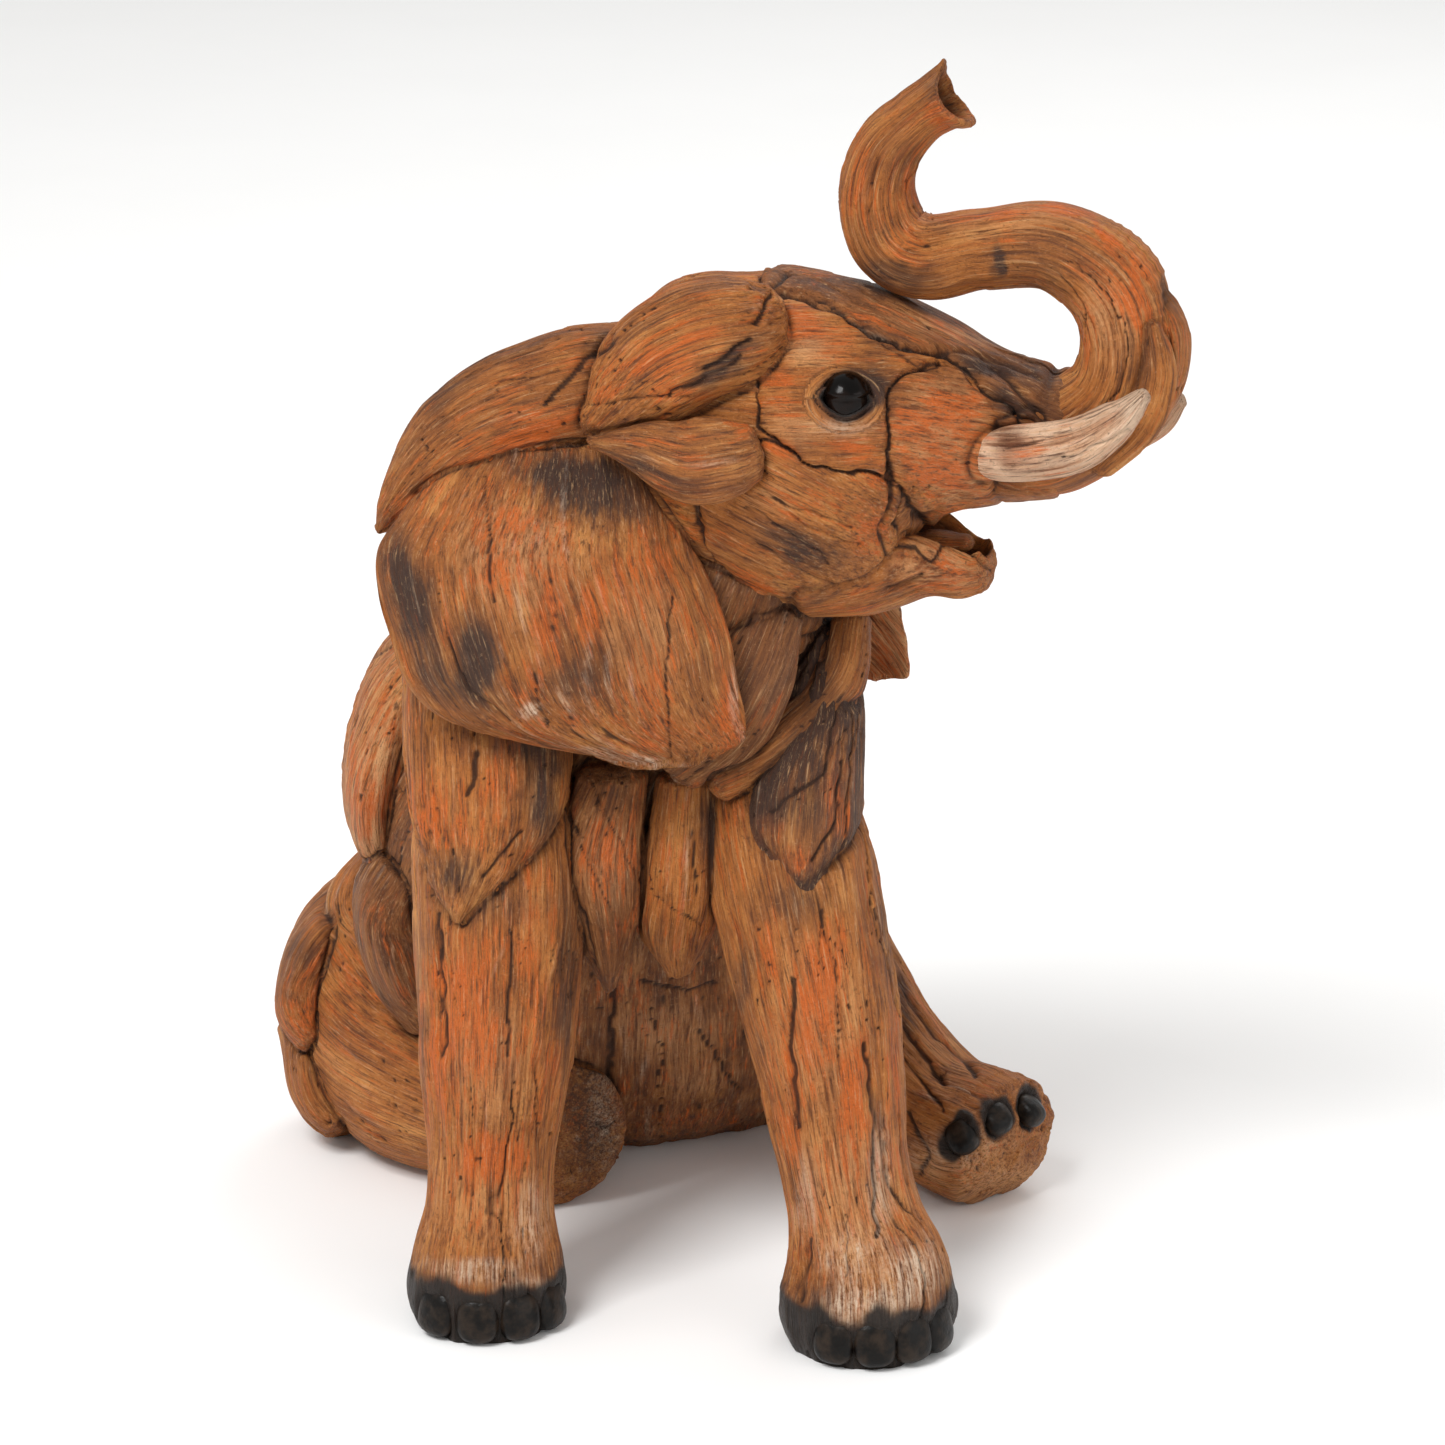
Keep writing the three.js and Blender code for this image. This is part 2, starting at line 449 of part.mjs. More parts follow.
// Slabs on the outside of the right thigh
place("body", "thigh_slab_upper", "orange", limb(
  [[-93, 62, 62, 12, 7], [-104, 52, 51, 20, 9], [-107.5, 42, 39, 20, 9], [-104, 34, 28, 12, 7]],
  { across: BACK, sides: 12, steps: 7, caps: [4, 3] }));
place("body", "thigh_slab_lower", "orange", limb(
  [[-108, 52, 26, 16, 8], [-103, 44, 14, 22, 10], [-96, 40, 6, 20, 9]],
  { across: BACK, sides: 12, steps: 5, caps: [3, 3] }));

export default elephant;
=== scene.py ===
"""A sitting elephant made of driftwood slabs, its head turned and its trunk raised.

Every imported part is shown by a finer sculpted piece: the same limbs and plates, with the wood's grain,
cracks, pits and worn edges worked into the surface, and painted from the same fields. The trunk where it
rests on the forehead, the jaw, the tips of the chest slabs, the raised sole, the near tusk and the hind
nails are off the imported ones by 2 to 10 millimetres. Lengths in this file are millimetres until a mesh
is made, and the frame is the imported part's own.
"""

import math

import bpy
import numpy as np
from mathutils.bvhtree import BVHTree
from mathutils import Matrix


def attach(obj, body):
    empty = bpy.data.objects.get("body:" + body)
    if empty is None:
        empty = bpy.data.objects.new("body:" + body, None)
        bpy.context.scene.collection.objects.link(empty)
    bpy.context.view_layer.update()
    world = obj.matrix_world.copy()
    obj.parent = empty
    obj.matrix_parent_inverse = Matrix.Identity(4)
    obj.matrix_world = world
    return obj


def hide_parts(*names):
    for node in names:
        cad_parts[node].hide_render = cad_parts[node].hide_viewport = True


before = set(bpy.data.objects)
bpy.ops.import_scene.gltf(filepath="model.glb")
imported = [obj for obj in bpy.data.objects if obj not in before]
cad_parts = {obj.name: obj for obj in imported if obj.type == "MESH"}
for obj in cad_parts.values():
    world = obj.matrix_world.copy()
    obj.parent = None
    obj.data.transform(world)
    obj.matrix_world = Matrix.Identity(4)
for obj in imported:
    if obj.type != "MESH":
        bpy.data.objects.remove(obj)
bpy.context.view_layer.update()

MM = 0.001
COARSE = 1.0
STANCE = np.array([3.09, -3.62, 0.0])  # from the modelling axes to the middle of the footprint
TILT = math.radians(18.0)  # outlines and strokes on the near side are drawn from this far above level
HEAD_YAW = math.radians(13.0)
HEAD = np.array([12.0, -38.0, 210.0])

RIGHT = np.array([1.0, 0.0, 0.0])
BACK = np.array([0.0, 1.0, 0.0])
UP = np.array([0.0, 0.0, 1.0])
DOWN = -UP
FRONT = -BACK
SNOUT = np.array([math.cos(HEAD_YAW), -math.sin(HEAD_YAW), 0.0])
LATERAL = np.array([math.sin(HEAD_YAW), math.cos(HEAD_YAW), 0.0])
TOWARDS_VIEW = np.array([0.0, -math.cos(TILT), math.sin(TILT)])


# ---------------------------------------------------------------- noise

def lattice(ix, iy, iz, seed):
    """A repeatable random number from 0 to 1 at each point of a whole-number grid."""
    h = ix.astype(np.uint32) * np.uint32(374761393) + iy.astype(np.uint32) * np.uint32(668265263)
    h = h + iz.astype(np.uint32) * np.uint32(2246822519) + np.uint32(seed * 7919 + 17)
    h = (h ^ (h >> np.uint32(13))) * np.uint32(1274126177)
    h = (h ^ (h >> np.uint32(15))) * np.uint32(2654435761)
    return ((h ^ (h >> np.uint32(16))) & np.uint32(0xFFFF)) / 65535.0


def noise(points, cell, seed):
    """Smooth noise from 0 to 1. A cell is a feature's size in millimetres, or its size each way."""
    scaled = points / np.asarray(cell, float)
    whole = np.floor(scaled).astype(np.int64)
    part = scaled - whole
    part = part * part * part * (part * (part * 6 - 15) + 10)
    total = np.zeros(points.shape[:-1])
    for corner in range(8):
        step = np.array([corner & 1, corner >> 1 & 1, corner >> 2 & 1])
        weight = np.prod(np.where(step, part, 1 - part), axis=-1)
        at = whole + step
        total += weight * lattice(at[..., 0], at[..., 1], at[..., 2], seed)
    return total


def layered(points, cell, seed, layers):
    """Noise with finer layers added, each half the size and strength of the last."""
    total, weight = 0.0, 0.0
    for k in range(layers):
        total = total + noise(points, np.asarray(cell, float) / 2**k, seed + 31 * k) / 2**k
        weight += 1 / 2**k
    return total / weight


def wander(points, cell, seed):
    """Two noises from -0.5 to 0.5, to shift an outline or a line by."""
    return np.stack([noise(points, cell, seed), noise(points, cell, seed + 1)], -1) - 0.5


def bell(x, width):
    """1 at x = 0, falling to nothing within about two widths."""
    return np.exp(-((x / width) ** 2))


def ramp(low, high, x):
    """0 below low, 1 above high, smooth between."""
    t = np.clip((x - low) / (high - low), 0, 1)
    return t * t * (3 - 2 * t)


# ---------------------------------------------------------------- grids

def between(p0, p1, p2, p3, w):
    """The smooth curve from p1, at w = 0, to p2, at w = 1, given the points before and after."""
    t0, t1 = (p2 - p0) / 2, (p3 - p1) / 2
    return p1 + t0 * w + (-3 * p1 + 3 * p2 - 2 * t0 - t1) * w**2 + (2 * p1 - 2 * p2 + t0 + t1) * w**3


def catmull(points, t):
    """Points on the smooth curve through the given ones, at parameters from 0 to 1."""
    points = np.asarray(points, float)
    padded = np.vstack([2 * points[0] - points[1], points, 2 * points[-1] - points[-2]])
    s = np.clip(t, 0, 1) * (len(points) - 1)
    i = np.minimum(s.astype(int), len(points) - 2)
    w = (s - i)[:, None]
    return between(*(padded[i + k] for k in range(4)), w)


def turned(flat, angle):
    """Flat points in axes turned anticlockwise by the angle."""
    c, s = math.cos(angle), math.sin(angle)
    return flat @ np.array([[c, -s], [s, c]])


def unit(v):
    return v / np.maximum(np.linalg.norm(v, axis=-1, keepdims=True), 1e-9)


def drawn(p):
    """[x, height] of each point from the near side."""
    return np.stack([p[..., 0], p[..., 1] * math.sin(TILT) + p[..., 2] * math.cos(TILT)], -1)


RELIEF = ("calm", "push", "ridges")
# first: painted shade in cracks and hollows; third: stains with painted shade, and below 0 bleach with
# painted light
PAINT = ("dark", "orange", "shade", "pale", "black")


class Sheet:
    """A closed surface as a grid: rings along it, and points round each ring.

    base holds the points, and grain the wood's own coordinates (along, across, across). push is how far
    each point moves along its normal when the piece is made, and ridges its fine part, whose tops wear
    pale. calm is 1 where the wood has no cracks. The paint fields are what the materials read."""

    def __init__(self, name, base, grain):
        self.name = name
        self.base = base
        self.grain = grain
        along = np.gradient(base, axis=0)
        around = np.roll(base, -1, 1) - np.roll(base, 1, 1)
        self.normal = unit(np.cross(along, around))
        volume_sign = np.sum(self.normal * (base - base.mean(axis=1, keepdims=True)))
        if volume_sign < 0:
            self.normal = -self.normal
        self.flip = volume_sign < 0
        for field in RELIEF + PAINT:
            setattr(self, field, np.zeros(base.shape[:2]))

    @property
    def modelled(self):
        """The points in the modelling axes, in which every size and place here is given."""
        return self.base - STANCE

    @property
    def seen(self):
        """The surface as it is drawn on: [x, height] of each point from the near side."""
        return drawn(self.modelled)

    @property
    def facing(self):
        """How squarely each point faces the near side."""
        return self.normal @ TOWARDS_VIEW

    def bvh(self):
        rings, sides = self.base.shape[:2]
        faces = grid_faces(rings, sides, False).tolist()
        return BVHTree.FromPolygons(self.base.reshape(-1, 3).tolist(), faces)


def grid_faces(rings, sides, flip):
    k, i = np.meshgrid(np.arange(rings - 1), np.arange(sides), indexing="ij")
    j = (i + 1) % sides
    corners = [k * sides + i, k * sides + j, (k + 1) * sides + j, (k + 1) * sides + i]
    faces = np.stack(corners, -1).reshape(-1, 4)
    return faces if flip else faces[:, ::-1]


def limb(name, stations, across=RIGHT, upright=None, caps=(6, 6), grid=0.8, taper=0.5, squareness=2.0):
    """Elliptical sections swept along a smooth curve and closed by two domes.

    A station is [x, y, z, half width, half depth, bend]. taper says how far the grain narrows with the
    limb, from 0, straight, to 1."""
    grid = grid * COARSE
    rows = np.array([list(s) + [0.0] * (6 - len(s)) for s in stations], float)
    fine = np.linspace(0, 1, 400)
    middle = catmull(rows[:, :3], fine)
    length = np.concatenate([[0], np.cumsum(np.linalg.norm(np.diff(middle, axis=0), axis=1))])
    a, b = rows[:, 3:5].max(axis=0)
    girth = math.pi * (3 * (a + b) - math.sqrt((3 * a + b) * (a + 3 * b)))
    sides = max(16, int(girth / grid / 2) * 2)
    body = max(6, int(length[-1] / grid))
    dome = [max(5, int(max(cap, rows[e, 3:5].min()) * 1.2 / grid)) for cap, e in zip(caps, (0, -1))]
    t_body = np.interp(np.linspace(0, length[-1], body + 1), length, fine)
    a0 = np.linspace(0.04, math.pi / 2, dome[0] + 1)[:-1]
    a1 = np.linspace(math.pi / 2, 0.04, dome[1] + 1)[1:]
    t = np.concatenate([np.zeros(dome[0]), t_body, np.ones(dome[1])])
    push = np.concatenate([-caps[0] * np.cos(a0), np.zeros(body + 1), caps[1] * np.cos(a1)])
    shrink = np.concatenate([np.sin(a0), np.ones(body + 1), np.sin(a1)])

    centre = catmull(rows[:, :3], t)
    size = catmull(rows[:, 3:6], t)
    ahead, behind = np.minimum(t + 1e-3, 1), np.maximum(t - 1e-3, 0)
    tangent = unit(catmull(rows[:, :3], ahead) - catmull(rows[:, :3], behind))
    if upright is not None:
        tangent = np.tile(upright, (len(t), 1))
    wide = unit(across - tangent * (tangent @ across)[:, None])
    deep = np.cross(tangent, wide)
    centre = centre + tangent * push[:, None]

    angle = np.arange(sides) / sides * 2 * math.pi
    c, s = np.cos(angle), np.sin(angle)
    c, s = (np.sign(v) * np.abs(v) ** (2 / squareness) for v in (c, s))
    u = c[None] * (size[:, 0] * shrink)[:, None]
    v = s[None] * (size[:, 1] * shrink)[:, None] + size[:, 2:3] * (1 - (c[None] * shrink[:, None]) ** 2)
    base = centre[:, None] + wide[:, None] * u[..., None] + deep[:, None] * v[..., None] + STANCE

    mean = rows[:, 3:5].mean(axis=0)
    scale = (1 - taper) + taper * mean / np.maximum(size[:, :2], 1)
    distance = np.interp(t, fine, length) + push
    grain = np.stack([np.broadcast_to(distance[:, None], u.shape), u * scale[:, :1], v * scale[:, 1:2]], -1)
    grain = grain + np.array([0.0, 0.0, sum(map(ord, name)) * 13.0])
    return Sheet(name, base, grain)


def ball(name, centre, radii, axes, grid, squareness=2.0):
    """A squashed ball with its own three axes, boxier the higher its squareness."""
    sides = max(16, int(2 * math.pi * max(radii) / (grid * COARSE)))
    rings = sides // 2
    a = np.linspace(0.03, math.pi - 0.03, rings)[:, None]
    b = (np.arange(sides) / sides * 2 * math.pi)[None]
    local = np.stack([np.sin(a) * np.cos(b), np.sin(a) * np.sin(b), np.cos(a) * np.ones_like(b)], -1)
    local = local / (np.abs(local) ** squareness).sum(-1, keepdims=True) ** (1 / squareness)
    base = (local * np.asarray(radii)) @ np.asarray(axes) + np.asarray(centre) + STANCE
    return Sheet(name, base, (local * np.asarray(radii))[..., [2, 0, 1]])


def outline_distance(points, outline):
    """Distance from each [x, height] point to a smooth closed outline, negative inside."""
    closed = np.asarray(outline, float)
    padded = np.vstack([closed[-1:], closed, closed[:2]])
    w = np.linspace(0, 1, 5)[:-1, None]
    curve = np.vstack([between(*padded[k : k + 4], w) for k in range(len(closed))])
    flat = points.reshape(-1, 2)
    nearest = np.full(len(flat), 1e9)
    inside = np.zeros(len(flat), bool)
    for a, b in zip(curve, np.roll(curve, -1, 0)):
        nearest = np.minimum(nearest, segment_distance(flat, a, b))
        crosses = (a[1] > flat[:, 1]) != (b[1] > flat[:, 1])
        if a[1] != b[1]:
            inside ^= crosses & (flat[:, 0] < (b[0] - a[0]) * (flat[:, 1] - a[1]) / (b[1] - a[1]) + a[0])
    return np.where(inside, -nearest, nearest).reshape(points.shape[:-1])


def segment_distance(points, a, b):
    d = b - a
    t = np.clip(((points - a) @ d) / max(d @ d, 1e-9), 0, 1)
    return np.linalg.norm(points - a - t[..., None] * d, axis=-1)


def stroke_distance(points, line):
    """Distance from each [x, height] point to an open line."""
    line = np.asarray(line, float)
    nearest = np.full(points.shape[:-1], 1e9)
    for a, b in zip(line[:-1], line[1:]):
        nearest = np.minimum(nearest, segment_distance(points, a, b))
    return nearest


def blurred(field, reach):
    """The field averaged over neighbouring points of the grid, wrapping round each ring."""
    out = field
    for _ in range(reach):
        out = (out + np.roll(out, 1, 1) + np.roll(out, -1, 1)) / 3
        edge = np.vstack([out[:1], out, out[-1:]])
        out = (edge[:-2] + edge[1:-1] + edge[2:]) / 3
    return out


# ---------------------------------------------------------------- the pieces' shapes

pieces = {}
SLOT = {}


def add(sheet, slot):
    pieces[sheet.name] = sheet
    SLOT[sheet.name] = slot


def wooden(name, tone, stations, **how):
    add(limb(name, stations, **how), "wood_" + tone)


def nail(name, spot, out, sole, size):
    along = unit(sole - out * (sole @ out) + 0.25 * out)
    across = unit(np.cross(out, along))
    axes = [across, np.cross(along, across), along]
    add(ball(name, spot - 1.2 * out, size, axes, 0.35, 2.7), "horn_black")


def nails(prefix, centre, radius, angles, size, sole=DOWN, ahead=FRONT):
    for i, degrees in enumerate(angles):
        a = math.radians(degrees)
        out = ahead * math.cos(a) + RIGHT * math.sin(a)
        nail(f"{prefix}_{i + 1}", np.asarray(centre) + out * radius, out, sole, size)


NAIL = (5.3, 3.8, 6.2)
HIND_NAIL = (4.0, 3.3, 4.5)
nails("nail_front_right", [-57, -75, 6.4], 17.8, [-42, -6, 28, 60], NAIL)
nails("nail_front_left", [35, -88, 6.8], 19.4, [-26, 4, 32, 58], NAIL)
nails("nail_hind_right", [-43, -5, 19], 17.6, [-82, -46, -10], HIND_NAIL, FRONT, UP)
HEEL = np.array([66.0, 0.0, 14.0])
HIND_SOLE = unit(np.array([0.45, -0.6, -0.65]))
HIND_NAIL_SPOTS = [[60, -19, 23.5], [69, -14, 27], [78.5, -4.5, 25.5]]
for i, spot in enumerate(HIND_NAIL_SPOTS):
    nail(f"nail_hind_left_{i + 1}", np.array(spot), unit(np.array(spot) - HEEL), HIND_SOLE, HIND_NAIL)

wooden("front_leg_right", "tan", [[-57, -74, 0, 17, 17], [-57, -75, 7, 19.5, 19.5],
    [-57, -74, 16, 18.5, 18.5], [-56.5, -71, 27, 15.8, 15.5], [-56, -68, 42, 15.8, 16],
    [-55, -64, 62, 18, 18.5], [-54, -57, 88, 19.8, 21], [-54, -49, 114, 20, 22], [-54, -40, 136, 17, 19]],
    caps=(3, 8), grid=0.6)
wooden("front_leg_left", "tan", [[35, -87, 0, 18.5, 19], [35, -88, 7.5, 21.3, 21.5],
    [34.5, -86, 17, 20, 20], [31.5, -82, 29, 16, 16], [29, -78, 42, 15.7, 16], [26, -71, 62, 17.5, 18.5],
    [21.5, -63, 86, 19.5, 20.5], [16, -53, 110, 20, 22], [11, -43, 130, 17, 19]], caps=(3, 8), grid=0.6)
wooden("hind_leg_right", "tan", [[-62, 72, 58, 26, 20], [-78, 60, 47, 31.5, 24.5], [-86, 46, 35, 33, 25],
    [-81, 28, 25, 26, 22], [-62, 12, 20, 20, 20], [-47, 2, 20, 19, 19], [-43, -8, 20, 19.5, 19.5]],
    across=UP, caps=(14, 5), grid=0.9)
wooden("hind_leg_left", "tan", [[2, 72, 57, 28, 24], [14, 54, 50, 29.5, 24], [29, 34, 38, 22.5, 20],
    [44, 18, 27, 18, 16.5], [55, 7, 19, 17, 17.5], [66.5, -2, 17, 17.5, 20.5], [71.5, -6, 17, 16.5, 20]],
    across=UP, caps=(14, 5), grid=0.8)

wooden("tusk_right", "pale", [[60, -64, 214, 5, 6], [70, -70, 215.5, 6, 7], [82, -75, 219, 5.6, 6.6],
    [91, -78, 225.5, 4.2, 4.8], [96.5, -79, 231.5, 2, 2.2]], across=LATERAL, caps=(3, 2), grid=0.45,
    taper=1.0)
wooden("tusk_left", "pale", [[66, -34, 210, 5, 6], [80, -31, 208, 6, 7], [93, -32, 210, 5.6, 6.2],
    [103, -36, 214.5, 4.4, 4.8], [108, -39, 220, 2.4, 2.6]], across=LATERAL, caps=(3, 2), grid=0.5,
    taper=1.0)
wooden("trunk", "tan", [[66, -51, 214, 15, 14], [80, -54, 216, 15, 14], [92, -56.5, 226, 13, 12.2],
    [95, -57, 240, 12.2, 11.6], [90.5, -56, 253, 12, 11.8], [77, -53, 261, 11, 10.6],
    [61, -49, 259.6, 10.3, 9.6], [48, -46, 256.6, 10.3, 10.2], [39.5, -44, 260.6, 10, 10.2],
    [36.2, -43.5, 271, 9, 9], [38.5, -44, 282, 8.2, 8], [45, -45.5, 289.5, 6.8, 6.4],
    [50, -46.8, 293.5, 7.2, 6.9], [53, -47.6, 295.3, 8.4, 8.4]], across=LATERAL, caps=(4, 0.6), grid=0.5,
    taper=1.0)
wooden("skull", "tan", [[-24, -29, 213, 18, 22], [-12, -32, 213, 30, 34], [5, -36, 211, 36, 38.5],
    [22, -40, 210, 36, 39.5], [38, -44, 212, 31, 34], [52, -47, 218, 24, 22], [64, -50, 216.8, 18.3, 16.7],
    [78, -53, 216, 15, 14], [88, -55.5, 218, 12, 11]], across=LATERAL, upright=SNOUT, caps=(6, 4), grid=0.5)
wooden("tongue", "orange", [[40, -44, 188, 8, 3], [50, -46.5, 189.5, 7, 3], [57, -48, 190, 4.5, 2.2]],
    across=LATERAL, caps=(3, 3), grid=0.5)
wooden("lower_jaw", "tan", [[24, -41, 181, 24, 12], [38, -44, 182.5, 19, 10.5, -2],
    [50, -47, 184.5, 14, 8, -2], [57, -49, 184.2, 10.8, 8, -2], [61.5, -50, 184.2, 8.6, 7.2, -1.5]],
    across=LATERAL, upright=SNOUT, caps=(8, 3), grid=0.5)
wooden("trunk_strip_front", "tan", [[101.5, -58, 252, 5, 2.6], [105.5, -59, 242, 7, 3],
    [105, -59, 231, 7.5, 3], [101, -58, 221, 6.5, 3]], across=LATERAL, caps=(3, 3), grid=0.5)
wooden("trunk_strip_side", "tan", [[99, -66, 244, 3, 2.5], [100, -67.5, 233, 5, 3], [96, -68, 222, 5.5, 3],
    [88, -67.5, 213, 4, 2.5]], across=SNOUT, caps=(3, 3), grid=0.5)

wooden("temple_slab", "tan", [[-29, -68, 217.5, 2, 2], [-19, -71, 217, 6, 3.6], [-8, -74, 214.5, 10, 4.6],
    [1, -76, 216, 9.5, 4.6], [7, -76, 217.5, 7, 3.6]], across=UP, caps=(3, 2), grid=0.5, squareness=2.6)
wooden("ear_crest_right", "tan", [[11, -57, 242, 11, 9], [4, -60, 241, 14.5, 12], [-6, -62, 239, 15.5, 12],
    [-18, -62, 231.5, 13.5, 11], [-28, -62, 222, 6, 7]], across=UP, caps=(4, 5), grid=0.55)
wooden("ear_roll_right", "orange", [[-20, -50, 228, 14, 11], [-36, -53, 226, 14.5, 11.5],
    [-53, -54, 220.5, 13.5, 10], [-66, -53, 211, 10.5, 8], [-75, -52, 201, 5.8, 6],
    [-80.5, -51, 192.5, 2, 2.4]], across=UP, caps=(5, 2), grid=0.55)
wooden("ear_flap_right", "orange", [[-40, -56, 213, 22, 4, 3], [-42, -60, 202, 31, 4, 6],
    [-44, -63, 191, 37.2, 3.6, 9], [-41.5, -66, 180, 40, 3.4, 10], [-38.5, -68, 170, 40.2, 3.2, 10],
    [-35.5, -70, 160, 39.5, 3, 9], [-30, -71, 151.5, 36, 2.8, 7], [-22, -72, 146, 27, 2.4, 5],
    [-16, -72, 142.5, 15, 2, 3]], upright=DOWN, caps=(3, 2), grid=0.5, taper=0.55, squareness=2.5)
wooden("ear_crest_left", "tan", [[22, -7, 231, 9, 9], [12, -4, 229, 12, 11], [0, 1, 226, 13, 11],
    [-14, 6, 219, 12, 10], [-26, 10, 210, 7, 7]], across=UP, caps=(4, 5), grid=0.8)
wooden("ear_roll_left", "orange", [[-16, 6, 212, 12, 9], [-31, 14, 208, 12.5, 9], [-45, 22, 203, 11, 8],
    [-54, 28, 195, 8, 6], [-60, 32, 186, 4, 4]], across=UP, caps=(5, 2), grid=0.8)
wooden("ear_flap_left", "orange", [[-12, 6, 206, 22, 4, -3], [-14, 12, 198, 30, 4, -5],
    [-12, 17, 189, 36, 3.6, -7], [-8, 21, 179, 39, 3.4, -8], [-2, 25, 168, 40, 3.2, -8],
    [6, 28, 157, 37, 3, -7], [17, 29, 147, 29, 2.8, -5], [29, 28, 138, 18, 2.4, -3],
    [38, 25, 132, 9, 2, -2]], across=np.array([0.974, -0.225, 0]), upright=DOWN, caps=(3, 2), grid=0.7,
    squareness=2.5)

wooden("neck", "brown", [[-19, -12, 134, 38, 36], [-12, -21, 154, 35.5, 35], [-2, -28, 175, 31, 33],
    [5, -35, 192, 28, 30]], caps=(6, 6), grid=0.8)
wooden("torso", "brown", [[-31, 73, 2, 56, 32], [-31, 65, 24, 63, 46], [-30, 51, 52, 65, 54],
    [-29, 31, 81, 63, 54], [-27, 9, 109, 58, 48], [-22, -12, 134, 48, 39], [-14, -24, 152, 36, 31]],
    caps=(8, 8), grid=1.0)
wooden("shoulder_slab_right", "tan", [[-58, -40, 158, 18, 14], [-56.5, -50, 144, 20, 17],
    [-56, -56, 130, 19.6, 18], [-57, -60, 117, 15.8, 16], [-60, -62.5, 107, 9.5, 13.5],
    [-62.5, -64, 101, 4, 11]], upright=DOWN, caps=(5, 2), grid=0.6)
wooden("shoulder_slab_left", "tan", [[24, -36, 162, 6, 9], [23.5, -44, 150, 10, 13],
    [20, -52, 136, 13.8, 17], [18.5, -57, 124, 14.8, 18], [18.5, -60, 115.5, 11.8, 16],
    [18, -63, 109, 6.5, 13.5], [16.5, -64, 105, 2.5, 11]], upright=DOWN, caps=(4, 2), grid=0.6)
wooden("throat_slab", "tan", [[31, -40, 166, 5, 5], [27, -48, 152, 7, 5.5], [15, -57, 141, 7.5, 5.5],
    [-1, -61, 133, 6, 5]], caps=(3, 3), grid=0.6)
wooden("chest_slab_middle", "tan", [[-8, -50, 129, 8, 9], [-9, -52, 114, 10, 10], [-10, -50, 100, 10, 10.5],
    [-11.5, -46, 88, 8.5, 10.5], [-11, -42, 79, 4, 9]], upright=DOWN, caps=(4, 2), grid=0.6, squareness=2.5)
wooden("chest_slab_right", "brown", [[-27, -50, 130, 9, 10], [-31, -51, 115, 13, 11],
    [-31.5, -50, 105, 13.5, 12.5], [-30, -47, 93, 10, 13], [-28.5, -43, 82, 5.5, 12], [-28, -39, 74, 2, 9]],
    upright=DOWN, caps=(4, 2), grid=0.6)
wooden("neck_slab", "brown", [[12, -54, 172, 8, 5], [6, -60, 160, 12, 6], [-2, -62, 148, 13, 6],
    [-12, -62, 138, 9, 5]], caps=(4, 3), grid=0.6)
wooden("flank_slab_upper_right", "tan", [[-66, 2, 152, 12, 9], [-78, 10, 136, 22, 10],
    [-85, 18, 116, 27, 10], [-86, 28, 97, 24, 10], [-82, 36, 84, 14, 8]], across=BACK, caps=(4, 4),
    grid=0.8)
wooden("flank_slab_lower_right", "brown", [[-78, 8, 90, 15, 10], [-83, 12, 76, 22, 11],
    [-80, 14, 60, 22, 11], [-74, 16, 46, 14, 9]], across=BACK, caps=(4, 4), grid=0.8)
wooden("flank_slab_left", "tan", [[12, 6, 148, 12, 9], [20, 16, 130, 22, 10], [25, 28, 110, 27, 10],
    [26, 42, 90, 24, 10], [24, 52, 76, 14, 8]], across=BACK, caps=(4, 4), grid=0.9)
wooden("back_slab_middle", "tan", [[-15, 6, 170, 10, 6], [-24, 38, 144, 18, 7.5], [-30, 66, 116, 22, 7.5],
    [-31, 91, 84, 20, 7.5], [-31, 107, 50, 11, 6]], across=RIGHT, caps=(4, 4), grid=0.9)
wooden("back_slab_right", "brown", [[-46, 22, 148, 14, 7], [-61, 46, 126, 21, 8], [-69, 69, 98, 22, 8],
    [-67, 88, 68, 14, 7]], across=np.array([0.8, 0.6, 0]), caps=(4, 4), grid=0.9)
wooden("back_slab_left", "brown", [[-2, 24, 147, 14, 7], [4, 48, 125, 21, 8.5], [7, 71, 97, 22, 8.5],
    [3, 89, 66, 14, 7]], across=np.array([0.8, -0.6, 0]), caps=(4, 4), grid=0.9)
wooden("tail", "brown", [[-31, 106, 44, 5, 5], [-34, 113, 28, 4.4, 4.4], [-42, 114, 13, 4, 4],
    [-54, 111, 6, 4, 4], [-66, 105, 6, 5, 4.5]], caps=(3, 4), grid=0.6)
wooden("thigh_slab_upper", "orange", [[-93, 62, 62, 12, 7], [-104, 52, 51, 20, 9], [-107.5, 42, 39, 20, 9],
    [-104, 34, 28, 12, 7]], across=BACK, caps=(4, 3), grid=0.7)
wooden("thigh_slab_lower", "orange", [[-108, 52, 26, 16, 8], [-103, 44, 14, 22, 10], [-96, 40, 6, 20, 9]],
    across=BACK, caps=(3, 3), grid=0.7)

EYE = np.array([28.2, -71.0, 228.5])
EYE_RADIUS = 5.4
EYE_SEEN = drawn(EYE)


def across_head(point):
    """The same point on the other side of the head's mid-plane."""
    side = (point - HEAD) @ LATERAL
    return point - 2 * side[..., None] * LATERAL


for name, centre in (("eye_right", EYE), ("eye_left", across_head(EYE))):
    side = 1.0 if name == "eye_right" else -1.0
    inwards = centre + LATERAL * 2.0 * side
    eyeball = ball(name, inwards, (EYE_RADIUS,) * 3, [SNOUT, LATERAL, UP], 0.3)
    height = (eyeball.modelled - inwards) @ UP / EYE_RADIUS
    eyeball.push += 0.95 * ramp(0.16, 0.36, height)  # the upper lid, folded over the eye
    add(eyeball, "eye_gloss")


# ---------------------------------------------------------------- the head's plates

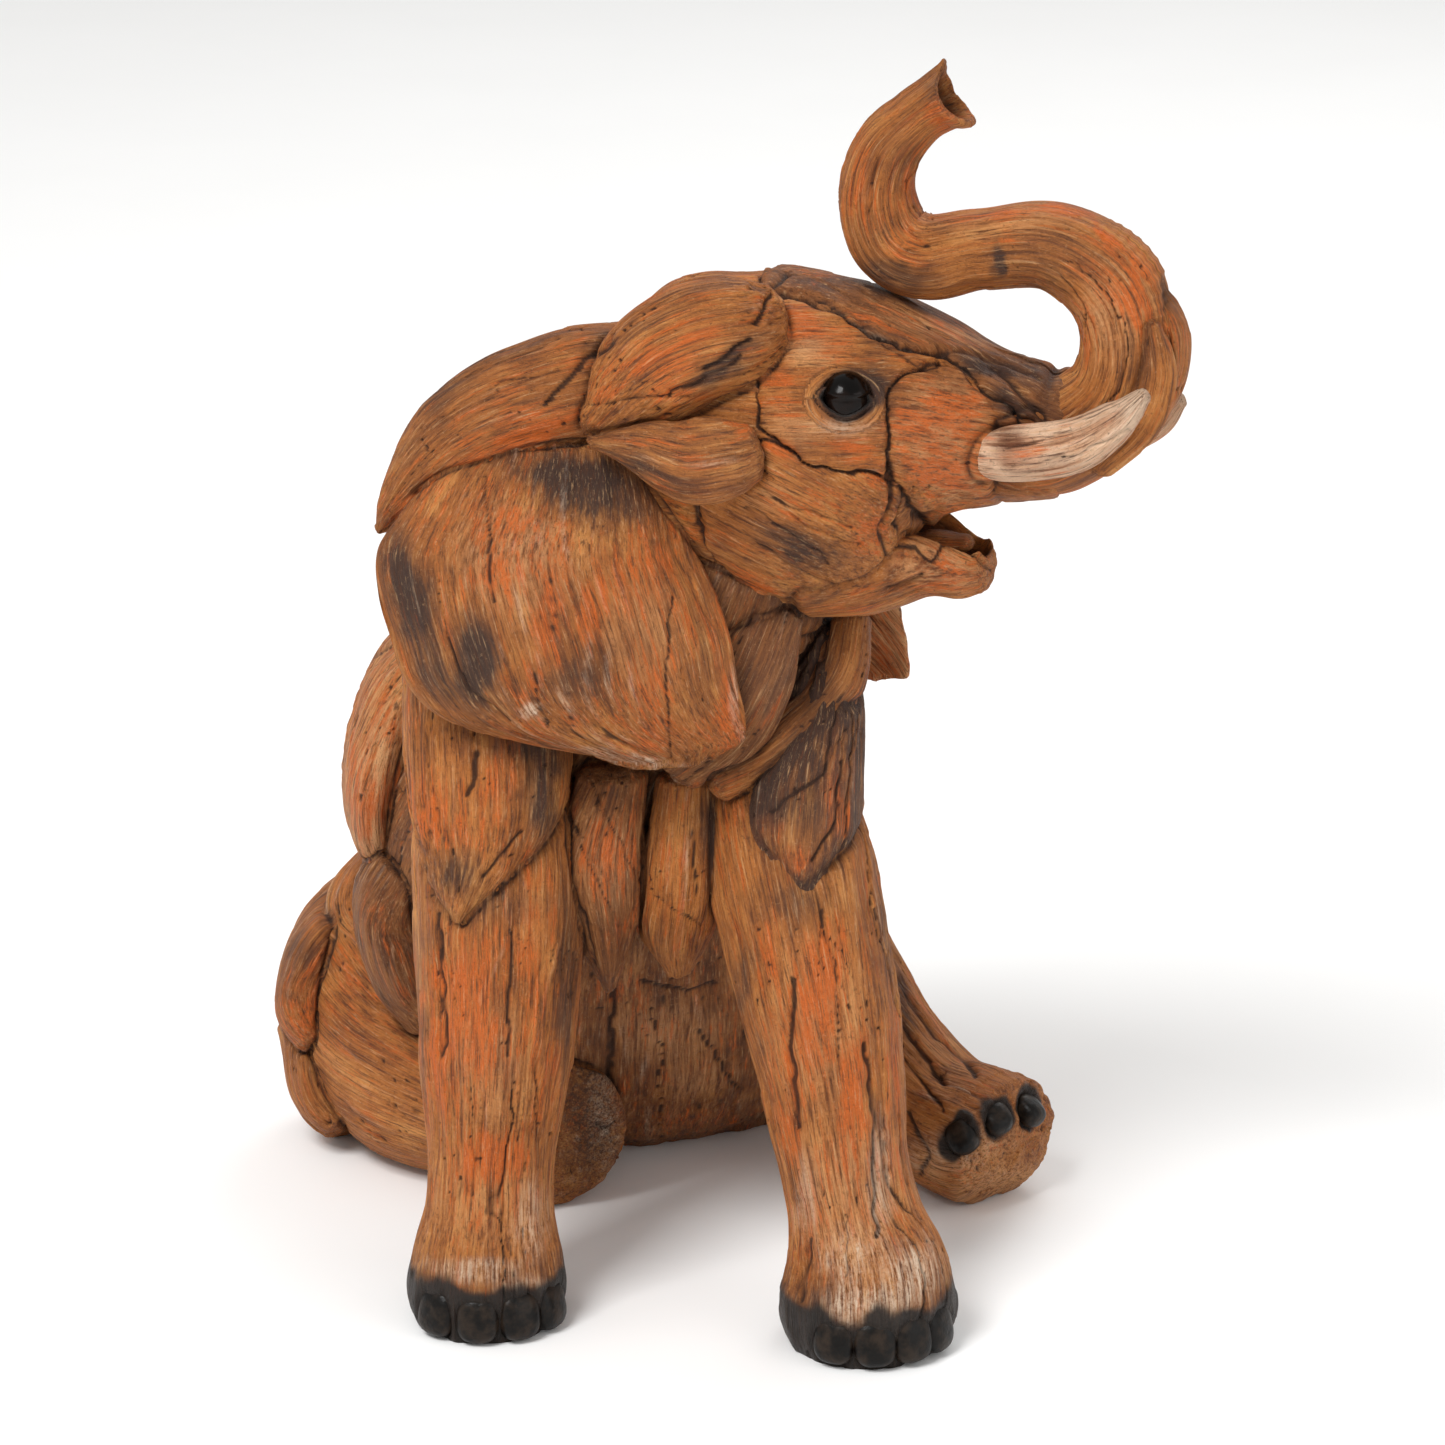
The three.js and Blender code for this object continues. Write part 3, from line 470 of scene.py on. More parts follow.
BROW = [[12.2, 219], [8.7, 212], [8, 196], [10.6, 188.5], [22.6, 181.5], [37.8, 178.6], [37.4, 187],
        [37.8, 196], [42, 201], [49, 203.4], [41, 206.4], [29.6, 212.6], [16, 219.4]]
SNOUT_PLATE = [[39.4, 195.5], [43, 199.8], [51.7, 201.5], [64.4, 194.4], [69.5, 190.4], [64.4, 189.4],
               [61.4, 186.4], [60.6, 181.4], [64.4, 176.8], [78, 176.4], [78, 172.5], [64.4, 168.4],
               [48, 169], [41, 177], [38.9, 186.4]]
CHEEK = [[8.7, 185.6], [22.6, 179.4], [38.4, 176.4], [39.6, 168], [38.6, 158.5], [39.6, 149],
         [22.6, 143], [6.4, 149], [-3, 163], [-5.2, 171.4], [3, 178.4]]
FOREHEAD = [[11, 222], [18, 221], [29.6, 214.6], [41, 208.2], [52.8, 205], [64.4, 197], [76, 190],
            [86.5, 187], [90.4, 196], [92, 206], [64, 222], [41, 236], [18, 238], [9, 232]]
PLATES = {  # outline, how far it stands out, the slope of its grain, slot
    "forehead_slab": (FOREHEAD, 1.9, -27, "wood_brown"),
    "brow": (BROW, 1.3, 0, "wood_tan"),
    "snout_slab": (SNOUT_PLATE, 1.9, -8, "wood_orange"),
    "cheek": (CHEEK, 1.1, -27, "wood_tan"),
}


def seen_from_own_side(sheet):
    """[x, height], depth and whether it is far, with the head's far half mirrored onto the near one."""
    far = (sheet.modelled - HEAD) @ LATERAL > 0
    p = np.where(far[..., None], across_head(sheet.modelled), sheet.modelled)
    return drawn(p), p @ TOWARDS_VIEW, far


def shape_head(sheet):
    """Raises the plates on the skull, cracks between them, and sinks the eyes between their lids.
    Returns the plate that each point belongs to, 0 for bare skull."""
    flat, depth, far = seen_from_own_side(sheet)
    wobble = wander(sheet.base, 6, 3) + 0.45 * wander(sheet.base, 2.2, 5)
    region = np.zeros(sheet.base.shape[:2], int)
    height = np.zeros(sheet.base.shape[:2])
    crack = np.zeros(sheet.base.shape[:2])
    for k, (outline, thickness, slope, _) in enumerate(PLATES.values(), start=1):
        d = outline_distance(flat + wobble * 2.6, outline) - 0.45
        height = np.maximum(height, thickness * ramp(0.7, -1.1, d))
        crack = np.maximum(crack, bell(d - 0.45, 0.42))
        inside = d < 0.3
        region[inside] = k
        along = turned(flat, math.radians(slope))
        grain = np.stack([along[..., 0] + far * 60.0, along[..., 1], depth * 0.6 + 90.0 * k], -1)
        sheet.grain = np.where(inside[..., None], grain, sheet.grain)
    offset = flat - EYE_SEEN
    reach = np.linalg.norm(offset * [1.0, 1.25], axis=-1)
    turn = np.arctan2(offset[..., 1] * 1.25, offset[..., 0])
    round_eye = np.stack([turn * 8, reach * 0.7, depth * 0.3], -1) + np.array([0, 0, 400.0])
    sheet.grain = np.where(((region == 2) & (reach < 9.5))[..., None], round_eye, sheet.grain)
    open_wide = 0.25 + 0.75 * ramp(0.3, 0.65, noise(sheet.base, 9, 8))
    sheet.push += height - 1.0 * crack * open_wide
    # painted shade in the cracks between the plates
    sheet.dark += 0.8 * crack * open_wide
    shape_eyes(sheet, offset, reach, turn)
    return region


def soft_spot(offset, x, y, rx, ry):
    """1 in the middle of a soft oval spot, 0 outside."""
    return np.exp(-(((offset[..., 0] - x) / rx) ** 2 + ((offset[..., 1] - y) / ry) ** 2))


def shape_eyes(sheet, offset, reach, turn):
    """An almond opening with a full upper lid, a double lower lid, and wrinkles round them."""
    tilted = turned(offset, -0.06)
    x, y = tilted[..., 0] / 5.0, tilted[..., 1] / np.where(tilted[..., 1] > 0, 3.7, 3.3)
    almond = np.abs(x) ** 1.5 + np.abs(y) ** 1.35
    upper = ramp(-0.2, 0.5, y)
    rim = almond - 1
    near = ramp(20, 14, reach)
    sheet.calm += ramp(19, 15, reach)
    socket = -1.6 * soft_spot(offset, 5.5, 4, 5.5, 4.5)
    lids = (1.1 + 0.8 * upper) * bell(rim - 0.34, 0.26)
    lids += 0.5 * bell(rim - 1.05, 0.26) - 0.5 * bell(rim - 0.70, 0.13)
    folds = 0.2 * np.sin(reach * 2.2 + 1.4 * np.sin(turn * 2)) * ramp(9, 10.5, reach) * ramp(17, 12, reach)
    folds *= ramp(-0.5, 0.4, np.sin(turn - 0.4))
    sheet.push += near * (socket + lids + folds) - 4.5 * ramp(0.04, -0.18, rim)
    # painted shade inside the lids and in the lower lid's crease
    sheet.dark += near * (0.8 * ramp(0.55, 0.2, rim) + 0.4 * bell(rim - 0.70, 0.13))
    # painted shade in the socket above the eye and round the lids
    sheet.shade += near * (1.2 * soft_spot(offset, 5.5, 3.5, 6, 5.5) + 0.7 * bell(rim - 0.5, 0.7))
    sheet.pale += near * 0.8 * soft_spot(offset, -0.5, -6.4, 6, 1.6)
    sheet.black += 0.95 * ramp(0.3, 0.1, rim) + 0.42 * ramp(0.95, 0.35, rim)
    sheet.orange += 0.15 * bell(reach - 12.5, 4) * ramp(-0.3, 0.5, np.cos(turn - 2.2))


# ---------------------------------------------------------------- marks drawn on the near side

# A crack is its grade and the [x, height] points it runs through. A grade is half width, depth, and
# the strength of the painted shade in it.
HAIR, CRACK, SPLIT, HOLLOW = (0.45, 0.55, 0.4), (0.6, 0.9, 0.7), (0.8, 1.2, 0.95), (1.2, 2.1, 1.3)
CRACKS = {
    "ear_flap_right": [
        (HAIR, (-12, 150), (-13, 130), (-12, 113)), (HAIR, (-56, 178), (-53, 149)),
        (HAIR, (-40, 157), (-39, 138), (-35, 120)), (HAIR, (-46, 138), (-41, 120)),
        (HAIR, (-13, 169), (-10, 159), (-3, 144)), (HAIR, (-64, 140), (-59, 128), (-50, 121)),
    ],
    "ear_roll_right": [
        (SPLIT, (-27, 209), (-34, 203), (-41, 195)), (HAIR, (-60, 202), (-48, 207), (-38, 210)),
        (HAIR, (-66, 192), (-52, 200), (-38, 203)),
    ],
    "ear_crest_right": [
        (SPLIT, (-26, 209), (-34, 202), (-40, 194)), (SPLIT, (-4, 202), (6, 209)),
        (CRACK, (-12, 197), (-2, 201), (5, 205)), (SPLIT, (6, 225), (15, 224), (11, 219), (8, 213)),
        (HAIR, (-31, 195), (-8, 196)),
    ],
    "skull": [
        (SPLIT, (15, 225), (10, 220), (8, 211)), (HOLLOW, (8, 215), (10, 214)),
        (CRACK, (12, 221), (23, 219), (32, 214), (38, 208), (47, 202), (50, 202)),
        (CRACK, (50, 206), (57, 206), (65, 204), (74, 200)), (SPLIT, (63, 203), (69, 198), (75, 191)),
        (HAIR, (65, 208), (79, 202)), (HAIR, (32, 220), (42, 216), (52, 209)),
        (CRACK, (81, 205), (88, 202), (88, 196), (83, 194)), (SPLIT, (39, 181), (39, 173)),
        (CRACK, (39, 173), (36, 167), (38, 160)), (HAIR, (6, 178), (20, 167), (32, 163)),
        (HAIR, (6, 172), (25, 159)), (HAIR, (5, 166), (16, 158), (30, 152)), (HAIR, (8, 174), (30, 167)),
        (HOLLOW, (46, 169), (51, 170), (56, 170)), (SPLIT, (62, 181), (64, 191), (71, 194), (74, 192)),
    ],
    "lower_jaw": [
        (CRACK, (53, 164), (49, 158), (45, 162), (41, 162)), (CRACK, (39, 152), (47, 155)),
        (CRACK, (48, 167), (58, 162), (64, 157)),
    ],
    "trunk": [
        (HAIR, (43, 231), (58, 234), (80, 235)), (HAIR, (40, 238), (48, 231)), (HAIR, (36, 252), (34, 239)),
    ],
    "shoulder_slab_right": [
        (SPLIT, (-58, 114), (-60, 104)), (HAIR, (-69, 126), (-70, 110), (-67, 95)),
        (CRACK, (-48, 95), (-57, 84)),
    ],
    "shoulder_slab_left": [
        (SPLIT, (24, 139), (17, 122), (7, 110)), (CRACK, (28, 126), (24, 109), (11, 100)),
        (CRACK, (28, 112), (27, 98), (21, 88)), (HAIR, (21, 136), (7, 118)),
    ],
    "chest_slab_right": [
        (CRACK, (-42, 92), (-33, 75), (-31, 58)), (HAIR, (-39, 102), (-25, 72)),
        (HAIR, (-32, 107), (-20, 83)),
    ],
    "chest_slab_middle": [(HAIR, (-16, 79), (-5, 72)), (HAIR, (-8, 102), (-6, 79))],
    "front_leg_right": [
        (CRACK, (-68, 75), (-67, 41)), (CRACK, (-50, 72), (-51, 41)), (SPLIT, (-35, 65), (-36, 28)),
        (HAIR, (-60, 33), (-60, 8)), (HAIR, (-44, 40), (-44, 9)), (HAIR, (-53, 3), (-52, -7)),
    ],
    "front_leg_left": [
        (SPLIT, (17, 60), (16, 44), (18, 24)), (SPLIT, (34, 44), (36, 31), (37, -1)),
        (CRACK, (21, -3), (18, -17)), (HAIR, (27, 65), (28, 41)), (HAIR, (30, 9), (29, -10)),
        (HAIR, (24, 78), (23, 64)),
    ],
    "hind_leg_left": [
        (SPLIT, (45, 55), (53, 43), (64, 32)), (SPLIT, (43, 48), (56, 30)), (CRACK, (51, 53), (68, 34)),
        (CRACK, (44, 38), (56, 23)), (CRACK, (47, 22), (52, 12), (50, 5)),
    ],
    "torso": [
        (SPLIT, (-27, 53), (-29, 30)), (CRACK, (-6, 43), (4, 26)), (CRACK, (-20, 56), (-8, 53), (-1, 55)),
    ],
    "tusk_right": [(HAIR, (65, 184), (76, 187), (90, 192)), (HAIR, (67, 180), (81, 182), (93, 188))],
    "neck": [
        (CRACK, (28, 147), (38, 150)), (CRACK, (4, 138), (16, 140), (28, 144)),
        (CRACK, (2, 131), (26, 139)),
    ],
}
# A patch is x, height, half width, half height, slope in degrees and strength. These are stains together
# with painted shade, and the bleached places together with painted light, whose strength is negative.
SHADE_AND_STAINS = {
    "ear_flap_right": [
        (-31, 175, 14, 8, -10, 1.35), (-38, 180, 16, 4, -5, 0.8), (-57, 137, 5, 10, 5, 1.6),
        (-73, 150, 5, 17, 15, 1.5), (-62, 128, 10, 5, -35, 0.8), (-32, 132, 8, 5, 0, 0.5),
        (-5, 138, 4, 14, 0, 0.35), (-48, 159, 14, 14, 0, -0.5), (-19, 140, 12, 14, 0, -0.3),
    ],
    "ear_roll_right": [(-65, 199, 9, 4, 35, 0.6), (-26, 209, 7, 4, 10, 0.7), (-48, 208, 14, 2, 15, 0.5)],
    "ear_crest_right": [(1, 204, 10, 3, 35, 1.3), (-5, 221, 12, 2, 20, 0.5), (-19, 212, 10, 2, 25, 0.4)],
    "temple_slab": [(-19, 180, 7, 2.5, -20, 0.5)],
    "skull": [
        (19, 162, 13, 4.5, -25, 1), (37, 150, 7, 2, 0, 0.5), (42, 219, 17, 2.5, -20, 1),
        (65, 203, 13, 3, -15, 1.1), (31, 222, 10, 2, -10, 0.7), (67, 195, 6, 3, -30, 1.1),
        (61, 203, 7, 1.5, -10, 0.7), (35, 209, 4, 2.5, -30, 0.6), (77, 208, 10, 2, -15, 0.6),
        (43, 173, 4.5, 7, 0, 0.5), (36, 198, 2.5, 5, 20, 0.5), (18, 209, 10, 7, -20, -0.8),
        (16, 189, 7, 4.5, -30, -0.5), (51, 189, 12, 10, -5, -0.7), (49, 213, 14, 4, -25, -0.6),
        (56, 178, 17, 4, 0, -0.6), (32, 155, 12, 4, -10, -0.4), (11, 173, 7, 4, -30, -0.4),
    ],
    "lower_jaw": [(58, 167, 5, 1.5, -30, 0.8), (42, 152, 7, 2.5, 0, 0.4), (51, 158, 12, 7, 0, -0.7)],
    "tusk_right": [(66, 185, 4, 5, 10, 1), (74, 180, 10, 2, 5, 0.5)],
    "shoulder_slab_right": [
        (-43, 104, 5, 14, 0, 1.1), (-63, 85, 6, 6, 0, 0.9), (-48, 116, 10, 4, 0, 0.8),
    ],
    "shoulder_slab_left": [
        (15, 126, 7, 19, -25, 1.3), (22, 128, 10, 17, -25, 0.6), (9, 107, 4.5, 10, 0, 0.6),
        (24, 137, 5, 7, 0, 1), (18, 91, 7, 7, 0, -0.5),
    ],
    "chest_slab_right": [(-25, 102, 5, 7, -20, 0.4), (-39, 83, 3, 12, 10, 0.4), (-27, 90, 7, 14, 0, -0.5)],
    "chest_slab_middle": [(-1, 94, 5, 10, 0, 1.2), (-16, 67, 5, 5, 0, 0.4)],
    "front_leg_right": [
        (-37, 57, 3, 26, 0, 0.8), (-72, 55, 2, 22, 0, 0.5), (-53, 78, 15, 5, 0, 0.5),
        (-57, 40, 12, 15, 0, -0.4), (-55, 7, 15, 12, 0, -0.35),
    ],
    "front_leg_left": [
        (4, 52, 3, 19, -10, 0.7), (40, 71, 4, 15, 0, 0.5), (14, 78, 10, 5, 0, 0.5),
        (22, 48, 12, 19, -5, -0.45), (30, 9, 15, 17, 0, -0.6),
    ],
    "flank_slab_upper_right": [(-84, 101, 10, 20, 0, -0.8)],
    "trunk": [
        (64, 228, 1.5, 4, 0, 1.2), (43, 249, 4, 8, 15, 0.5), (39, 225, 11, 4, -10, 1),
        (34, 235, 5, 5, 0, 0.4), (79, 223, 7, 2, -30, 0.3), (48, 268, 2, 4, 0, 0.3),
        (90, 215, 10, 12, 0, -0.5), (62, 237, 19, 4, 0, -0.4),
    ],
    "torso": [
        (-15, 43, 15, 8, 0, -0.5), (-25, 55, 5, 3, 0, -0.4), (-6, 30, 10, 5, 10, -0.4),
        (-30, 38, 4, 10, 0, 0.5),
    ],
    "hind_leg_left": [(45, 50, 4, 17, 15, 0.8), (62, 12, 15, 5, 20, -0.7), (56, 36, 10, 8, -30, -0.4)],
    "hind_leg_right": [(-33, 21, 9, 22, 0, 0.9)],
    "thigh_slab_upper": [(-110, 60, 5, 12, 0, 0.5)],
}
# These are where the orange glaze is thickest.
GLOWS = {
    "ear_flap_right": [
        (-38, 153, 3, 15, -5, 0.9), (-30, 149, 3, 12, -5, 0.7), (-43, 138, 3, 14, -10, 0.9),
        (2, 125, 3, 10, -5, 0.8), (-19, 155, 5, 14, 0, 0.6), (-16, 126, 4, 12, 0, 0.5),
        (-52, 157, 4, 12, 0, 0.6), (-8, 119, 10, 4, 10, 0.4),
    ],
    "ear_roll_right": [
        (-58, 181, 19, 2.5, 25, 1), (-73, 172, 8, 2, 45, 1), (-32, 191, 7, 3, -10, 0.8),
        (-45, 187, 10, 2, 15, 0.8),
    ],
    "ear_crest_right": [
        (-20, 204, 7, 2.5, 20, 1.1), (-27, 198, 6, 2, 15, 0.9), (-6, 210, 6, 2, 20, 0.8),
        (-8, 197, 8, 2, 5, 0.6),
    ],
    "temple_slab": [(4, 190, 6, 2.5, -5, 1), (-19, 186, 10, 1.5, -5, 0.7), (-5, 181, 6, 2, -10, 0.5)],
    "skull": [
        (18, 214, 6, 4.5, 0, 0.9), (12, 203, 4, 8, 10, 0.9), (31, 183, 8, 2.5, -15, 0.7),
        (13, 184, 6, 2, -30, 0.9), (33, 164, 5, 5, -25, 0.9), (7, 155, 6, 2.5, -30, 0.9),
        (24, 149, 7, 1.5, -5, 0.6), (52, 192, 9, 4, 10, 0.8), (49, 180, 7, 3, -5, 0.9),
        (28, 224, 6, 1.5, -10, 0.6), (80, 204, 5, 2, -15, 0.6), (42, 188, 3, 6, 0, 0.6),
        (26, 209, 6, 2.5, -15, 0.5),
    ],
    "lower_jaw": [(51, 153, 7, 1.5, 5, 0.5)],
    "trunk": [
        (79, 240, 8, 1.5, -10, 1.2), (89, 233, 7, 1.5, -50, 1.3), (95, 221, 1.5, 9, 0, 1.2),
        (51, 260, 3, 4.5, 35, 1), (43, 244, 3, 6, 0, 0.9), (33, 248, 3, 10, 10, 0.6),
        (56, 238, 14, 1.5, 5, 0.7), (82, 226, 6, 1.5, -30, 0.7), (99, 210, 3, 7, 0, 0.7),
    ],
    "tusk_right": [(69, 183, 6, 3, 10, 0.9), (76, 178, 7, 1.5, 10, 0.6)],
    "shoulder_slab_right": [
        (-69, 102, 5, 12, 0, 0.9), (-53, 109, 5, 12, 0, 0.7), (-60, 95, 5, 7, 0, 0.5),
    ],
    "shoulder_slab_left": [(27, 105, 4, 14, -5, 0.9), (17, 88, 6, 4, 0, 0.8), (11, 95, 4, 5, 0, 0.6)],
    "chest_slab_right": [(-28, 88, 6, 10, 0, 0.5), (-20, 102, 2, 7, 0, 0.5)],
    "chest_slab_middle": [(-12, 82, 4, 10, 0, 0.6)],
    "front_leg_right": [
        (-62, 55, 9, 22, 0, 0.9), (-55, 17, 9, 6, 0, 1.1), (-45, 68, 5, 15, 0, 0.7),
        (-69, 38, 3, 15, 0, 0.8), (-42, 36, 4, 15, 0, 0.6),
    ],
    "front_leg_left": [
        (22, 49, 6, 14, 0, 1.1), (31, 32, 4, 15, -5, 1), (11, 68, 4, 10, 0, 0.8),
        (24, 65, 8, 10, 0, 0.8), (41, 40, 2, 15, 0, 0.8), (16, 26, 4, 10, 0, 0.6),
    ],
    "thigh_slab_upper": [(-105, 48, 7, 12, 0, 0.8)],
    "thigh_slab_lower": [(-95, 27, 11, 7, 0, 0.9)],
    "hind_leg_left": [(52, 53, 4, 12, 25, 0.7)],
}
# These are where the wood is dry-brushed pale.
DUSTED = {
    "ear_flap_right": [
        (-45, 124, 3, 1.5, 20, 1.2), (4, 126, 1.5, 10, 0, 0.6), (-24, 113, 14, 1.5, -10, 0.5),
    ],
    "tusk_right": [(93, 190, 8, 5, 25, 0.8), (95, 195, 4, 3, 40, 0.8)],
    "front_leg_right": [
        (-60, -10, 11, 2.5, 0, 0.9), (-46, 1, 4, 10, 0, 0.6), (-48, -14, 7, 2, 0, 0.7),
    ],
    "front_leg_left": [
        (45, -10, 7, 7, 0, 1.1), (34, -17, 10, 5, 0, 1.1), (20, 8, 3, 10, 0, 0.6),
        (38, 12, 3, 15, 0, 0.7), (30, -6, 7, 7, 0, 0.6),
    ],
    "hind_leg_left": [(58, 14, 12, 5, 20, 0.5)],
    "hind_leg_right": [(-30, 23, 4, 15, 0, 0.4)],
}


def draw_marks(sheet):
    flat, shown = sheet.seen, ramp(0.05, 0.3, sheet.facing)
    wobble = wander(sheet.base, 4, 21)
    for (width, depth, dark), *line in CRACKS.get(sheet.name, []):
        d = stroke_distance(flat + wobble * 1.4, line)
        cut = bell(d, width) * shown
        sheet.push -= depth * cut
        # painted shade in the crack
        sheet.dark += 0.75 * dark * cut
    for field, patches in ((sheet.shade, SHADE_AND_STAINS), (sheet.orange, GLOWS), (sheet.pale, DUSTED)):
        for x, height, rx, ry, slope, strength in patches.get(sheet.name, []):
            offset = turned(flat - [x, height] + wobble * 2.5, math.radians(slope))
            r = np.linalg.norm(offset / [rx, ry], axis=-1)
            field += strength * ramp(1.5, 0.2, r) * shown


# ---------------------------------------------------------------- shapes of their own

TIP = np.array([53.0, -47.6, 295.3])
TIP_RADIUS = 8.4
TIP_REACH = 16.0  # only points this near to the tip are moved
TIP_AXIS = unit(np.array([3.0, -0.8, 1.75]))


def shape_trunk_tip(sheet):
    """Opens the trunk's end between a finger on top and a lip below."""
    side = unit(LATERAL - TIP_AXIS * (TIP_AXIS @ LATERAL))
    up = np.cross(TIP_AXIS, side)
    p = sheet.modelled - TIP
    along, high, wide = p @ TIP_AXIS, p @ up, p @ side
    close = np.linalg.norm(p, axis=-1) < TIP_REACH
    near = ramp(-9, 0, along) * close
    out = np.sqrt(high**2 + wide**2) / TIP_RADIUS
    turn = high / np.maximum(out * TIP_RADIUS, 1e-6)
    lobes = 2.6 * ramp(0.55, 1.0, turn) + 1.2 * ramp(0.6, 1.0, -turn) - 1.6 * ramp(0.75, 0.1, np.abs(turn))
    inside = ramp(0.86, 0.55, out) * (along > -1.2)
    moved = (lobes * out**2 * near - 6.5 * inside) * close
    sheet.base = sheet.base + moved[..., None] * TIP_AXIS
    pinch = near * ramp(0.5, 1.0, turn) * 0.45
    sheet.base = sheet.base - (wide * pinch)[..., None] * side
    # painted shade inside the trunk's opening
    sheet.dark += 1.1 * inside


def shape_jaw(sheet):
    """Scoops the jaw out behind its lip, and raises the lip into the corners of the mouth."""
    p = sheet.modelled
    forward = (p - HEAD) @ SNOUT
    half = np.interp(forward, [14, 28, 40, 48, 52], [22, 18, 13.5, 10, 7])
    out = np.abs((p - HEAD) @ LATERAL) / half
    top = ramp(0.0, 0.6, sheet.normal[..., 2])
    scoop = ramp(0.95, 0.66, out) * top * ramp(20, 28, forward) * ramp(55, 50, forward)
    rise = np.interp(forward, [10, 26, 34, 41, 47, 50], [5, 7.5, 7.2, 4.2, 1.2, 0])
    rim = ramp(0.4, 0.85, out) * ramp(-0.3, 0.3, sheet.normal[..., 2])
    sheet.base = sheet.base + (rise * rim - 7.0 * scoop)[..., None] * UP
    # painted shade inside the mouth
    sheet.dark += 0.9 * scoop


def flatten_beyond(sheet, point, outward, where, radius):
    """Presses a foot's end against the plane of its sole, which is smooth and pale."""
    p = sheet.modelled
    beyond = (p - point) @ outward
    near = np.linalg.norm(p - where, axis=-1) < radius
    sole = near * ramp(-3, 1, beyond)
    sheet.calm += 0.85 * sole
    sheet.shade -= 0.75 * sole
    sheet.orange -= 0.8 * sole
    sheet.base = sheet.base - (np.where(near, np.maximum(beyond, 0) * 0.85, 0))[..., None] * outward


def blacken_feet():
    """Front feet are black below, with a ragged edge; the raised hind foot only round its nails."""
    for name in ("front_leg_right", "front_leg_left"):
        sheet = pieces[name]
        p = sheet.modelled
        ragged = 8 * (layered(sheet.base, 8, 71, 3) - 0.5)
        sheet.black += ramp(19.0, 10.5, p[..., 2] + ragged)
        sheet.shade += 0.6 * ramp(24, 14, p[..., 2] + ragged)
    sheet = pieces["hind_leg_left"]
    p = sheet.modelled
    for spot in HIND_NAIL_SPOTS:
        away = np.linalg.norm(p - spot, axis=-1) + 3 * (noise(sheet.base, 4, 72) - 0.5)
        sheet.black = np.maximum(sheet.black, 0.9 * ramp(8.0, 4.2, away))


RINGED = {  # piece: where the bark is ringed across the grain, as [x, height], and the half sizes
    "trunk": [([96.0, 226.0], (14, 20))],
    "front_leg_left": [([26.0, 34.0], (5, 26))],
    "front_leg_right": [([-52.0, 30.0], (10, 10))],
}


def ring(sheet):
    for middle, size in RINGED.get(sheet.name, []):
        r = np.linalg.norm((sheet.seen - middle) / size, axis=-1)
        sheet.push += 0.16 * np.sin(sheet.grain[..., 0] * 3.3) * ramp(1.2, 0.6, r) * (sheet.facing > 0)


# ---------------------------------------------------------------- the wood's own relief

ROUGH = {  # piece: how rough its wood is, 1 unless it says otherwise
    "tusk_right": 0.35, "tusk_left": 0.4, "tongue": 0.4, "throat_slab": 0.7, "trunk": 0.7, "skull": 0.75,
    "lower_jaw": 0.7, "ear_flap_right": 1.25,
}


def carve_wood(sheet):
    """Lumps, grain, long cracks and pits, and the painted shade in them."""
    amount = ROUGH.get(sheet.name, 1.0)
    p, g = sheet.base, sheet.grain
    along = np.zeros(p.shape[:2] + (1,))
    g = g + np.concatenate([along, wander(p, 26, 41)], -1) * 7
    jag = np.concatenate([along, wander(p, 2.6, 53)], -1)
    lumps = layered(p, 17, 43, 2) - 0.5
    broad = noise(g, (55, 5, 5), 44) - 0.5
    ridges = layered(g, (34, 2.2, 2.2), 45, 2) - 0.5
    line = np.abs(2 * noise(g + jag * 1.3, (130, 8.5, 8.5), 46) - 1)
    where = ramp(0.60, 0.70, noise(g, (48, 13, 13), 47))
    width = 0.045 + 0.04 * noise(p, 12, 55)
    crack = ramp(width, 0.0, line) * where
    second = np.abs(2 * noise(g + jag * 0.9, (70, 3.6, 3.6), 48) - 1)
    hair = ramp(0.11, 0.0, second) * ramp(0.50, 0.64, noise(g, (22, 8, 8), 49))
    pits = ramp(0.86, 0.93, noise(p, 1.3, 50)) * ramp(0.5, 0.7, noise(p, 12, 51))
    flake = ramp(0.49, 0.53, noise(g + jag, (26, 7, 7), 52)) - 0.5
    crack, hair, pits = ((1 - sheet.calm) * f for f in (crack, hair, pits))
    sheet.ridges += amount * (0.75 * ridges + 0.25 * broad + 0.12 * lumps)
    raised = 1.5 * lumps + 1.0 * broad + 0.85 * ridges + 0.34 * flake
    sheet.push += amount * (raised - 0.9 * crack - 0.4 * hair - 0.5 * pits)
    # painted shade in the cracks, hairlines and pits
    sheet.dark += amount * (0.6 * crack + 0.35 * hair + 0.45 * pits)


def meet(sheet, others):
    """Sinks a groove where the piece meets its neighbours, so that each slab keeps its own edge."""
    low, high = sheet.base.min((0, 1)) - 3, sheet.base.max((0, 1)) + 3
    flat = sheet.base.reshape(-1, 3)
    nearest = np.full(len(flat), 9.0)
    for other, tree in others:
        if other is sheet:
            continue
        a, b = other.base.min((0, 1)) - 2, other.base.max((0, 1)) + 2
        if (a > high).any() or (b < low).any():
            continue
        for i in np.nonzero(((flat > a) & (flat < b)).all(axis=1))[0]:
            hit = tree.find_nearest(flat[i], 2.2)
            if hit[3] is not None and hit[3] < nearest[i]:
                nearest[i] = hit[3]
    d = nearest.reshape(sheet.base.shape[:2])  # how far each point is from its nearest neighbour
    jitter = 0.6 + 0.8 * noise(sheet.base, 7, 61)
    groove = bell(d, 0.8)
    sheet.push -= 0.9 * groove * jitter
    # painted shade in the groove between the pieces
    sheet.dark += 0.42 * groove * jitter
    # painted shade on the wood near the neighbouring piece
    sheet.shade += 0.35 * bell(d, 2.0)


